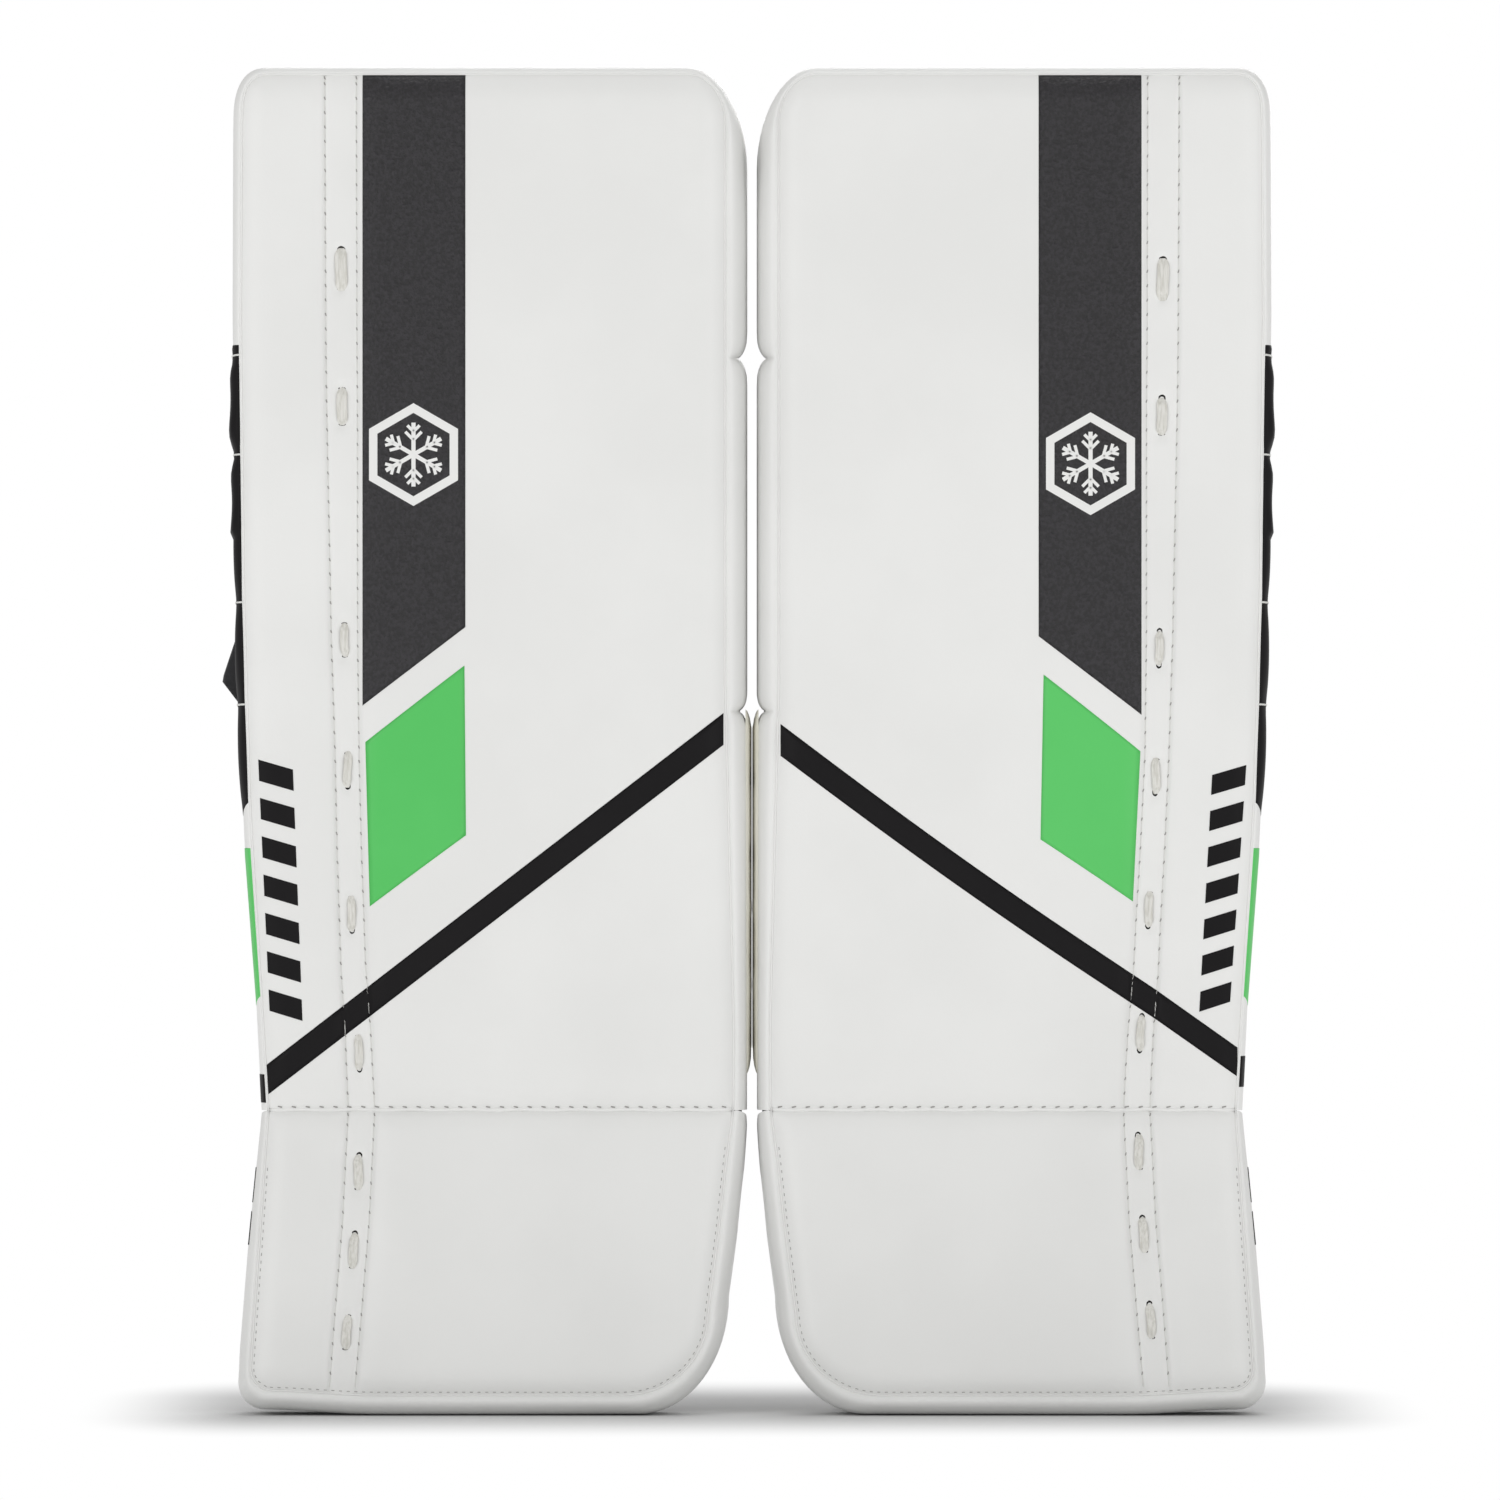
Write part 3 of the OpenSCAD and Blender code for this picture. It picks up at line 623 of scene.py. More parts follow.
def crossing(outline, z, which):
    """The first or last place where an outline is at a height."""
    found = []
    heights = [p[1] for p in outline]
    z = min(max(z, min(heights)), max(heights))
    for (xa, za), (xb, zb) in zip(outline[:-1], outline[1:]):
        if min(za, zb) <= z <= max(za, zb):
            t = 0.5 if za == zb else (z - za) / (zb - za)
            found.append(xa + t * (xb - xa))
    return min(found) if which == "first" else max(found)


def face_cover_rows(upper):
    """Rows of [x, height] over the face. The lowest boot rows follow the sole's seam."""
    if upper:
        ends = [BOOT_Z + o for o in (0, 0.7, 1.6, 2.8, 4.4, 6.4, 9)]
        tops = [FACE_TOP - o for o in (12.5, 9, 6.4, 4.4, 2.8, 1.6, 0.8, 0.25, 0)]
        heights = ends + list(np.arange(BOOT_Z + 11, FACE_TOP - 14, 2.0)) + tops
        for z in heights:
            x = row_across(z, crossing(UPPER_SEAM, z, "first"), crossing(UPPER_SEAM, z, "last"))
            yield x, np.full(len(x), float(z))
        return
    ends = [FACE_LOW + o for o in (0, 0.25, 0.8, 1.6, 2.8, 4.4, 6.4, 9, 12)]
    tops = [BOOT_Z - o for o in (9, 6.4, 4.4, 2.8, 1.6, 0.7, 0.1)]
    flat = [(x, z - sole_lift(x) * max(0, 1 - (z - FACE_LOW) / 60)) for x, z in BOOT_SEAM]
    for z in ends + list(np.arange(FACE_LOW + 14, BOOT_Z - 10, 2.0)) + tops:
        x = row_across(z, crossing(flat, z, "first"), crossing(flat, z, "last"))
        fade = max(0, 1 - (z - FACE_LOW) / 60)
        yield x, np.array([z + sole_lift(a) * fade for a in x])


def face_cover(side, upper):
    """The front cover: outer roll, lace channel and main panel in one sheet."""
    rows = []
    for x, z in face_cover_rows(upper):
        y = upper_y(x, z) if upper else boot_y(x, z)
        rows.append(list(zip(x, y, z)))
    bits = Bits()
    bits.rows(rows)
    return bits.piece("upper_cover" if upper else "boot_cover", side, WHITE if upper else BOOT_WHITE)


# ---------------------------------------------------------------- gussets

# Across the gusset, from the seam to the back: share of the way out, and depth in parts of the
# roll, then millimetres in front of the back.
ROLL_STEPS = np.linspace(0, 1, 12)


def gusset_profile(roll_depth, back, bump):
    """Points (share out, depth) from just under the face to the back edge."""
    points = [(-0.10, SEAM_Y + 1.6), (0.0, SEAM_Y)]
    for t in ROLL_STEPS[1:]:
        a = t * math.pi / 2
        share = math.sin(a) ** 0.92
        depth = SEAM_Y + roll_depth * (1 - math.cos(a)) ** 1.15
        points.append((share, depth - bump * math.sin(math.pi * min(1, 1.35 * share) ** 0.7)))
    for t in (0.25, 0.5, 0.75, 0.9):
        points.append((1 + 0.035 * math.sin(math.pi * t), roll_depth + t * (back - 9 - roll_depth)))
    for t in (0, 0.25, 0.5, 0.75, 1):
        a = t * math.pi / 2
        points.append((1, back - 9 + 9 * math.sin(a)))
    return points


def notch_depth(z):
    """Pinch of the inner gusset: a sharp crease between two pillowed ends."""
    depth = 0.0
    for height, deep, half in NOTCHES:
        t = min(1.0, abs(z - height) / half)
        depth += deep * (1 - math.sqrt(1 - (1 - t) ** 2))
    return depth


def gusset_rows(upper):
    """Rows of points around a pad, from the seam at the front to the back edge."""
    seam, case = (UPPER_SEAM, UPPER_CASE) if upper else (BOOT_SEAM, BOOT_CASE)
    back = SLAB if upper else BOOT_DEEP
    rows = []
    widths = [math.hypot(p[0] - q[0], p[1] - q[1]) for q, p in zip(seam, case)]
    profiles = [gusset_profile(3.5 + 1.15 * w, back, 0.5 + 0.11 * w) for w in widths]
    for v in range(len(profiles[0])):
        row = []
        for (qx, qz), (px, pz), width, profile in zip(seam, case, widths, profiles):
            share, depth = profile[v]
            nx, nz = ((px - qx) / max(width, 0.1), (pz - qz) / max(width, 0.1))
            inner = px < 60 and abs(nx) > 0.7
            pinch = notch_depth(pz) * min(1, max(0, share)) if upper and inner else 0
            turn = max(0.0, (depth - (back - 9)) / 9)
            inset = 5.5 * (1 - math.sqrt(max(0.0, 1 - turn**2)))
            out = share * width - pinch - inset
            x, z = qx + nx * out, qz + nz * out
            y = depth
            if not upper:
                top = max(0.0, (pz - 105) / (BOOT_Z - 105))
                z -= 0.265 * depth * top**2 * (3 - 2 * top)
                z = max(z, 0.0)
                y = depth / math.cos(LEAN) - (BOOT_Z - z) * math.tan(LEAN) if depth < 5 else \
                    depth - (BOOT_Z - z) * math.tan(LEAN)
            row.append((x, y, z))
        rows.append(row)
    return rows


def gusset(side, upper):
    """The rolled edge and the side of a section, in one strip round it."""
    bits = Bits()
    rows = gusset_rows(upper)
    bits.rows(rows if upper else [row[::-1] for row in rows])
    return bits.piece("upper_gusset" if upper else "boot_gusset", side, WHITE if upper else BOOT_WHITE)


# ---------------------------------------------------------------- inlaid colours and threads

BURIED = 0.5    # how far the rim of an overlay sinks into the cover
INLAY_LIFT = 0.16
DROP = {"left": 0.0, "right": -5.0}   # the right pad's inlays are sewn a little lower


def column_patch(name, side, places, low_edge, high_edge, finish, lift=INLAY_LIFT, surface=upper_y):
    """An inlaid panel on the face, made of upright columns between two edges."""
    step = (places[1] - places[0]) * 0.02
    columns = [places[0] + step * 0.2, *places, places[-1] - step * 0.2]
    tallest = max(high_edge(x) - low_edge(x) for x in places)
    shares = np.linspace(0, 1, max(6, int(tallest / 2.6)))
    shares = [0.0005, *shares, 0.9995]
    rows = []
    for j, t in enumerate(shares):
        row = []
        for i, x in enumerate(columns):
            z = low_edge(x) + t * (high_edge(x) - low_edge(x))
            rim = i in (0, len(columns) - 1) or j in (0, len(shares) - 1)
            row.append((x, float(surface(x, z)) - lift + (BURIED if rim else 0), z))
        rows.append(row)
    bits = Bits()
    bits.rows(rows)
    return bits.piece(name, side, finish)


def stroke_rows(path, half, surface, lift, closed=False):
    """A flat printed line of even width along a path of [x, z] points."""
    path = [np.array(p, float) for p in path]
    fine = []
    pairs = list(zip(path, path[1:] + path[:1])) if closed else list(zip(path[:-1], path[1:]))
    for a, b in pairs:
        n = max(2, int(np.linalg.norm(b - a) / 2.5))
        fine += [a + (b - a) * k / n for k in range(n)]
    if not closed:
        fine.append(path[-1])
    rows = []
    count = len(fine)
    for i, p in enumerate(fine):
        before = fine[i - 1] if closed or i else p
        after = fine[(i + 1) % count] if closed or i < count - 1 else p
        d1 = (p - before) / (np.linalg.norm(p - before) or 1)
        d2 = (after - p) / (np.linalg.norm(after - p) or 1)
        d = d1 + d2
        d = d / (np.linalg.norm(d) or 1)
        miter = half / max(0.6, float(d @ (d2 if np.linalg.norm(d2) else d1)))
        normal = np.array([-d[1], d[0]]) * miter
        row = []
        for k in (-1, -0.5, 0, 0.5, 1):
            x, z = p + normal * k
            row.append((x, float(surface(x, z)) - lift, z))
        rows.append(row)
    if closed:
        rows.append(rows[0])
    return rows


def lattice(start, end, step):
    return list(np.linspace(start, end, max(3, int(abs(end - start) / step) + 1)))


BLACK_IN, BLACK_OUT = 157, 213.4     # sides of the black panel
BLACK_FOOT = (430, 387)              # its bottom corners, inner and outer
# The green panels: x, upper and lower corner; their sides come in by the lean from top to foot.
GREEN_LEAN = {"left": (1.2, 3.6), "right": (2.3, 6.2)}
GREENS = {"left": {"in": (157.5, 409, 316), "out": (213, 367, 277)},
          "right": {"in": (159.7, 409, 318.7), "out": (214.9, 367, 284.7)}}   # x, upper and lower corner
STRIPE = {"left": (((15.6, 365.5), (266.3, 173)), ((15.6, 383), (266.3, 190))),
          "right": (((15.6, 359.5), (266.3, 183.5)), ((15.6, 377), (266.3, 199.5)))}


def slope(a, b):
    """Height along a straight edge between two [x, z] points."""
    return lambda x: a[1] + (x - a[0]) * (b[1] - a[1]) / (b[0] - a[0])


def lean_inward(panel, side):
    """Leans the green panel's sides in, and lays it back on the face."""
    sign = 1 if side == "right" else -1
    corners, lean = GREENS[side], GREEN_LEAN[side]
    top, foot = corners["in"][1] + DROP[side], corners["out"][2] + DROP[side]
    for v in panel.data.vertices:
        x, y, z = sign * v.co.x / MM, v.co.y / MM, v.co.z / MM
        off = y - float(upper_y(x, z))
        share = np.clip((x - corners["in"][0]) / (corners["out"][0] - corners["in"][0]), 0, 1)
        x -= (lean[0] + share * (lean[1] - lean[0])) * np.clip((top - z) / (top - foot), 0, 1)
        v.co.x, v.co.y = sign * x * MM, (float(upper_y(x, z)) + off) * MM


def colour_panels(side):
    drop, corners = DROP[side], GREENS[side]

    def lowered(edge):
        return lambda x: edge(x) + drop

    spread = lattice(BLACK_IN, BLACK_OUT, 3.2)
    spread = spread[:-1] + [BLACK_OUT - 1.6, BLACK_OUT - 0.8, BLACK_OUT]
    black = column_patch(
        "black_panel", side, spread,
        lowered(slope((BLACK_IN, BLACK_FOOT[0]), (BLACK_OUT, BLACK_FOOT[1]))),
        lambda x: FACE_TOP - 0.35, BLACK_GRAIN)
    green_x = lattice(corners["in"][0], corners["out"][0], 3.2)
    green = column_patch(
        "green_panel", side, green_x,
        lowered(slope((corners["in"][0], corners["in"][2]), (corners["out"][0], corners["out"][2]))),
        lowered(slope((corners["in"][0], corners["in"][1]), (corners["out"][0], corners["out"][1]))),
        GREEN_LEATHER)
    across = [15.6, 16.4, 17.6, 19.2, 21.5, *lattice(24, 200, 3.2)]
    across += list(np.arange(201, 236, 1.0)) + lattice(237, 260, 3.0) + [262.3, 264, 265.4, 266.1]
    lean_inward(green, side)
    sag = 3.0 if side == "right" else 0.0

    def bowed(edge):
        return lambda x: edge(x) - sag * max(0.0, math.sin(math.pi * min(1, (x - 15.6) / 205)))

    stripe = column_patch("diagonal_stripe", side, across, bowed(slope(*STRIPE[side][0])),
                          bowed(slope(*STRIPE[side][1])), BLACK)
    return black, green, stripe


EMBLEM = (185.4, 524.5)   # middle of the snowflake badge
BADGE_R, BADGE_HALF = 25.5, 2.3
# Ends of the row of bars, as inner x, outer x and height.
BARS = {"left": ((251.8, 271.0, 364), (246.2, 264.4, 217)),
        "right": ((252.5, 271.5, 360.5), (245.0, 262.0, 222))}


def badge(side):
    """A hexagon ring with a plain snowflake in it."""
    cx, cz = EMBLEM[0], EMBLEM[1] + DROP[side]
    bits = Bits()
    hexagon = [(cx + BADGE_R * math.cos(math.radians(a)), cz + BADGE_R * math.sin(math.radians(a)))
               for a in range(30, 390, 60)]
    bits.rows(stroke_rows(hexagon, BADGE_HALF, upper_y, 0.34, True))
    for k in range(6):
        a = math.radians(30 + 60 * k)
        arm = np.array([math.cos(a), math.sin(a)])
        across = np.array([-arm[1], arm[0]])
        centre = np.array([cx, cz])
        bits.rows(stroke_rows([centre, centre + arm * 17.5], 1.15, upper_y, 0.34 + 0.01 * k))
        for reach, length in ((8.0, 4.8), (12.6, 3.6)):
            for hand in (-1, 1):
                root = centre + arm * reach
                tip = root + (arm * 0.72 + across * hand * 0.72) * length * 1.3
                bits.rows(stroke_rows([root, tip], 0.85, upper_y, 0.36 + 0.01 * k))
    return bits.piece("snowflake_badge", side, PRINT_WHITE)


def slanted_bars(side):
    """Seven plain slanted bars along the outer roll."""
    bits = Bits()
    bars = 7
    top, foot = BARS[side]
    for k in range(bars):
        t0, t1 = k / bars, (k + 0.56) / bars

        def corner(t, u):
            z = foot[2] + t * (top[2] - foot[2])
            a = foot[0] + t * (top[0] - foot[0])
            b = foot[1] + t * (top[1] - foot[1])
            return a + u * (b - a), z + 5.5 * (u - 0.5)

        rows = []
        for t in (t0, t0 + 0.0004, *np.linspace(t0 + 0.002, t1 - 0.002, 4), t1 - 0.0004, t1):
            row = []
            for u in (0, 0.002, *np.linspace(0.04, 0.96, 7), 0.998, 1):
                x, z = corner(t, u)
                rim = t in (t0, t1) or u in (0, 1)
                row.append((x, float(upper_y(x, z)) - 0.2 + (BURIED if rim else 0), z))
            rows.append(row)
        bits.rows(rows)
    return bits.piece("slanted_bars", side, BLACK)


STITCH = 7.9        # needle marks along the lace channel
BOOT_STITCH = 7.6   # and along the boot seam


def channel_stitches(upper):
    """Thread and needle marks of both channel seams: two lists of tubes (path, radius). The needle marks are
    painted shade of the needle holes.
    """
    surface = upper_y if upper else boot_y
    bottom, top = (BOOT_Z + 1.5, FACE_TOP - 2) if upper else (FACE_LOW + 4, BOOT_Z - 2.5)
    threads, marks = [], []
    for hand in (-1, 1):
        z = bottom
        while z < top:
            end = min(z + STITCH, top)

            def spot(height, lift, offset=0.0):
                x = float(channel_x(height)) + hand * float(along(CHANNEL_HALF, height)) + offset
                return (x, float(surface(x, height)) - lift, height)

            run = [spot(h, 0.10) for h in np.linspace(z + 0.9, end - 0.7, 4)]
            ends = [spot(z + 0.5, -0.35), *run, spot(end - 0.3, -0.35)]
            threads.append((ends, 0.33))
            marks.append(([spot(end - 0.85, -0.02, -0.25), spot(end, 0.12, 0.05),
                           spot(end + 0.85, -0.02, 0.3)], 0.42))
            z += STITCH
    return threads, marks


def seam_welt(points, upper, radius=0.55):
    """Fine piping along the seam between face and gusset."""
    surface_y = SEAM_Y - 0.35
    path = [(x, surface_y if upper else surface_y / math.cos(LEAN) - (BOOT_Z - z) * math.tan(LEAN), z)
            for x, z in points]
    bits = Bits()
    bits.tube(path, radius, 7)
    return bits


def perimeter_marks(outline, surface, start, end, pitch=4.2, inset=1.7):
    """Small needle marks just inside a seam, between two points of its outline: painted shade of the needle
    holes.
    """
    marks, left = [], 0.0
    for (xa, za), (xb, zb) in zip(outline[start:end], outline[start + 1:end + 1]):
        run = math.hypot(xb - xa, zb - za)
        if run < 1e-6:
            continue
        dx, dz = (xb - xa) / run, (zb - za) / run
        while left < run:
            x, z = xa + dx * left - dz * inset, za + dz * left + dx * inset
            path = [(x + o * dx, float(surface(x + o * dx, z + o * dz)) - lift, z + o * dz)
                    for o, lift in ((-0.8, -0.05), (0, 0.10), (0.8, -0.05))]
            marks.append((path, 0.2))
            left += pitch
        left -= run
    return marks


def boot_seam_marks():
    """Needle marks just above the welt between shin and boot: painted shade of the needle holes."""
    marks = []
    x = float(along(SEAM_IN, BOOT_Z)) + 5
    end = float(along(SEAM_OUT, BOOT_Z)) - 3
    while x < end:
        z = BOOT_Z + 1.9
        path = [(x + o, float(upper_y(x + o, z)) - lift, z + 0.25 * o / 1.1)
                for o, lift in ((-1.1, -0.1), (0, 0.14), (1.1, -0.1))]
        marks.append((path, 0.42))
        x += BOOT_STITCH
    return marks


def boot_welt(side):
    """The raised ridge where the boot is sewn to the shin."""
    bits = Bits()
    xs = lattice(float(along(SEAM_IN, BOOT_Z)) + 0.5, float(along(SEAM_OUT, BOOT_Z)) - 0.5, 3)
    path = [(x, float(upper_y(x, BOOT_Z + 0.9)) + 0.25,
             BOOT_Z + 0.35 + 0.25 * math.sin(x * 0.21)) for x in xs]
    bits.tube(path, 1.15, 9, 0.8)
    return bits.piece("boot_welt", side, WHITE)


def tubes_piece(name, side, tubes, finish, sides=5):
    bits = Bits()
    for path, radius in tubes:
        bits.tube(path, radius, sides)
    return bits.piece(name, side, finish)


# ---------------------------------------------------------------- lace



def lace_run(number, surface):
    """One visible length of lace: a flat ribbon that dives into a hole at each end."""
    height = pad.lace_z[number]
    draw = random.Random(40 + number)
    skew = draw.uniform(-0.35, 0.35)
    reach = float(along(LACE_REACH, height)) + draw.uniform(-0.5, 0.5)
    wide = float(along(LACE_HALF, height))
    rows = []
    for t in np.linspace(-1, 1, 31):
        z = height + t * (reach + 1.2)
        past = max(0.0, abs(t) * (reach + 1.2) - (reach - 2.6))
        x = float(channel_x(z)) + skew * t * 1.6 + 0.25 * math.sin(3 * t + number)
        half = wide * (1 - 0.34 * min(1, past / 3.6) ** 1.6)
        y = float(surface(x, z)) - 1.05 + 0.42 * past ** 1.55 / 2.2
        row = []
        for a in np.linspace(0, 2 * math.pi, 20, endpoint=False):
            c, s = math.cos(a), math.sin(a)
            u = half * math.copysign(abs(c) ** 0.55, c)
            v = 0.78 * math.copysign(abs(s) ** 0.75, s)
            ripple = 0.06 * math.sin(9 * t + 2 * number) + 0.05 * math.sin(u * 2.1 + number)
            row.append((x + u, y - v - (ripple if v > 0 else 0), z))
        rows.append(row)
    return rows


def lace_hole_shades(number, surface):
    """Near-black discs of painted shade where the ribbon goes into the cover, standing for the shadow in its
    holes; taller at the ends that DARK_ENDS names.
    """
    height = pad.lace_z[number]
    found = []
    for end in (-1, 1):
        z0 = height + end * (float(along(LACE_REACH, height)) + 0.45)
        wide, tall = float(along(LACE_HALF, height)) * 0.84, 2.5 if pad.dark_ends[number] in (end, 2) else 0.9
        x0 = float(channel_x(z0))
        rings = []
        for r in (0.15, 0.5, 0.8, 1.0):
            rings.append([(x0 + r * wide * math.cos(a),
                           float(surface(x0 + r * wide * math.cos(a), z0 + r * tall * math.sin(a))) - 0.12
                           + (0.5 if r < 0.2 else 0.0) + (0.3 if r == 1.0 else 0),
                           z0 + r * tall * math.sin(a))
                          for a in np.linspace(0, 2 * math.pi, 18, endpoint=False)])
        found.append(rings)
    return found


def laces(side, upper):
    numbers = [i for i, z in enumerate(pad.lace_z) if (z > BOOT_Z) == upper]
    surface = upper_y if upper else boot_y
    ribbon, shade_discs = Bits(), Bits()
    for i in numbers:
        rows = lace_run(i, surface)
        ribbon.rows(rows, ring=True)
        ribbon.faces.append(tuple(range(len(ribbon.points) - len(rows[0]), len(ribbon.points))))
        for rings in lace_hole_shades(i, surface):
            shade_discs.rows(rings, ring=True)
    name = "upper" if upper else "boot"
    return ribbon.piece(f"{name}_lace_runs", side, LACE), shade_discs.piece(f"{name}_lace_holes", side, DARK)


# ---------------------------------------------------------------- colours on the outer gusset

def between_ties(z):
    """How far the black side panel puffs out between its ties."""
    near = min(abs(z - t) for t in (*TIE_Z, *SIDE_BLACK))
    return (3.2 if z > 480 else 1.2) * (1 - math.exp(-(near / 8) ** 2)) * (0.75 + 0.25 * math.sin(z * 0.11))


def outer_gusset_patch(name, side, z_low, z_high, finish, first=0.10, slant=0.0, upper=True, lift=0.22,
                       swell=lambda z: 0.0):
    """A coloured panel on the outer gusset, from just outside the seam round to the back."""
    count = max(4, int((z_high - z_low) / 4))
    rows = []
    for j, t in enumerate([0, 0.002, *np.linspace(0.01, 0.99, count), 0.998, 1]):
        z_mid = z_low + t * (z_high - z_low)
        q, p = float(along(SEAM_OUT, z_mid)), float(along(CASING_OUT, z_mid))
        back = SLAB if upper else BOOT_DEEP
        w = p - q
        shape = [(s, d) for s, d in gusset_profile(3.5 + 1.15 * w, back, 0.5 + 0.11 * w)
                 if s >= first or d > 8]
        flat = []
        for s, d in shape:
            turn = max(0.0, (d - (back - 9)) / 9)
            flat.append(np.array([q + s * w - 5.5 * (1 - math.sqrt(max(0.0, 1 - turn**2))), d]))
        row = []
        for i, point in enumerate(flat):
            t2 = flat[min(i + 1, len(flat) - 1)] - flat[max(i - 1, 0)]
            normal = np.array([t2[1], -t2[0]]) / (np.linalg.norm(t2) or 1)
            rim = i in (0, len(flat) - 1) or j in (0, count + 3)
            x, y = point + normal * (lift + swell(z_mid) * min(1, i / 5) - (BURIED if rim else 0))
            z = z_mid + slant * (0.5 - i / (len(flat) - 1)) * (1 - t)
            if not upper:
                y -= (BOOT_Z - z) * math.tan(LEAN)
            row.append((x, y, z))
        rows.append(row)
    bits = Bits()
    bits.rows(rows)
    return bits.piece(name, side, finish)


SIDE_BLACK, SIDE_GREEN = (327, 585), (223, 309)
STRIPE_END = {"left": (169.4, 185), "right": (178, 195)}
TIE_Z = (577.6, 524, 443, 387)


def side_ties(side):
    """Short white ties round the black part of the outer gusset."""
    bits = Bits()
    for k, height in enumerate(TIE_Z):
        q, p = float(along(SEAM_OUT, height)), float(along(CASING_OUT, height))
        w = p - q
        path = []
        for s, d in gusset_profile(3.5 + 1.15 * w, SLAB, 0.5 + 0.11 * w)[2:18]:
            path.append((q + s * w + 0.35, d - 0.25, height + (3.5 if k == 0 else 1.5) * (0.5 - d / 45)))
        bits.tube(path, 0.55, 6)
    return bits.piece("side_ties", side, THREAD)


CALF_ROLL_Z = (184, 385)
CALF_ROLL_Y = (12, 61)


def calf_roll(side):
    """Cream roll on the inner side of the calf, where the two pads meet."""
    rows = []
    (z0, z1), (y0, y1) = CALF_ROLL_Z, CALF_ROLL_Y
    for t in [0, 0.004, 0.012, 0.025, 0.045, *np.linspace(0.07, 0.93, 46), 0.955, 0.975, 0.988, 0.996, 1]:
        z = z0 + t * (z1 - z0)
        end = min(t, 1 - t) * (z1 - z0)
        full = math.sqrt(max(0.0, 1 - (1 - min(1, end / 16)) ** 2))
        wave = 0.16 * math.sin(z * 0.13) + 0.10 * math.sin(z * 0.31 + 1)
        row = []
        for a in np.linspace(0, math.pi, 17):
            y = (y0 + y1) / 2 - math.cos(a) * (y1 - y0) / 2
            puff = math.sin(a) ** 0.55
            row.append((3.6 - (3.25 - wave) * puff * full, y + 2 * (1 - full) * math.cos(a), z))
        rows.append(row)
    bits = Bits()
    bits.rows(rows)
    return bits.piece("calf_roll", side, CREAM)


# ---------------------------------------------------------------- back of the slab

EDGE_IN = 5.5   # how far the back edge lies inside the outline


def inset_corner(size, drop):
    """How far a rounded corner, trimmed by the edge, comes in at a height below the top."""
    a, b = size[0] - EDGE_IN, size[1] - EDGE_IN
    t = max(0.0, 1 - drop / b)
    return a * (1 - math.sqrt(max(0.0, 1 - t * t)))


def back_span(z, upper):
    left, right = float(along(CASING_IN, z)) + EDGE_IN, float(along(CASING_OUT, z)) - EDGE_IN
    if upper:
        drop = PAD_TOP - EDGE_IN - z
        left += inset_corner(CASE_IN, drop)
        right -= inset_corner(CASE_OUT, drop)
    elif z < TOE_P[1]:
        left = TOE_P[0] + EDGE_IN + (TOE_P[2]) * (
            1 - math.sqrt(max(0, 1 - ((TOE_P[1] - z) / (TOE_P[1] - EDGE_IN * 0.2)) ** 2)))
    return float(left), float(right)


def back_cover(side, upper):
    """The woven back of a section, closed onto the gusset's edge."""
    rows = []
    if upper:
        heights = list(np.arange(BOOT_Z, PAD_TOP - 60, 6)) + list(
            PAD_TOP - EDGE_IN - np.array([50, 44, 38, 32, 26, 20, 15, 11, 8, 5.5, 3.5, 2, 1, 0.3, 0]))
    else:
        heights = [EDGE_IN * 0.25, 1.6, 2.6, 4, 6, 9, *np.arange(13, BOOT_Z - 16, 6), BOOT_Z - 16.4]
    for z in heights:
        left, right = back_span(z, upper)
        row = []
        for u in [0, 0.01, 0.03, 0.06, *np.linspace(0.1, 0.9, 25), 0.94, 0.97, 0.99, 1]:
            x = left + u * (right - left)
            edge = min(x - left, right - x)
            y = SLAB + 0.1 + 0.7 * min(1, edge / 8)
            if not upper:
                y += BOOT_DEEP - SLAB - (BOOT_Z - z) * math.tan(LEAN)
            lift = 0 if upper else sole_lift(x) * max(0, 1 - z / 30)
            row.append((x, y, z + lift))
        rows.append(row)
    bits = Bits()
    bits.rows([row[::-1] for row in rows])
    return bits.piece("upper_back" if upper else "boot_back", side, NYLON)


def ankle_gusset(side):
    """Soft strip that closes the wedge between shin and boot, round three sides."""
    ring = []
    xi, xo = float(along(CASING_IN, BOOT_Z)), float(along(CASING_OUT, BOOT_Z))
    for y in np.linspace(6, SLAB - 5, 12):
        ring.append((xi + 3, y))
    ring += [(xi + 5, SLAB - 3), (xi + 9, SLAB - 1.6)]
    for x in np.linspace(xi + 14, xo - 14, 30):
        ring.append((x, SLAB - 1.4))
    ring += [(xo - 9, SLAB - 1.6), (xo - 5, SLAB - 3)]
    for y in np.linspace(SLAB - 5, 6, 12):
        ring.append((xo - 3, y))
    rows = []
    cx, cy = (xi + xo) / 2, SLAB / 2
    for t in np.linspace(0, 1, 13):
        row = []
        for x, y in ring:
            low_z = BOOT_Z - 0.287 * y - 3
            z = low_z + t * (BOOT_Z + 3 - low_z)
            puff = (1.6 * abs(math.sin(2 * math.pi * t)) - 1.2) * min(1, y / 20)
            dx, dy = (x - cx) / (xo - xi) * 2, (y - cy) / SLAB * 2
            row.append((x + puff * dx, y + puff * max(0, dy), z))
        rows.append(row)
    bits = Bits()
    bits.rows(rows)
    return bits.piece("ankle_gusset", side, NYLON)


# ---------------------------------------------------------------- stuffed pieces of the leg side

class Stuffed:
    """How a padded piece of the leg side is filled: its finish, body and slot (the slot is not used), the
    most that its cover may swell, and the sewn lines on its back as ((x, z), (x, z)) pairs."""

    def __init__(self, node, finish, body_name, slot, swell, fill, voxel=5.0, lines=(), floor=None,
                 inner=0.2):
        self.node, self.finish, self.body_name, self.slot = node, finish, body_name, slot
        self.swell, self.fill, self.voxel, self.lines, self.floor = swell, fill, voxel, lines, floor
        self.inner = inner   # never nearer than this to the plane between the pads


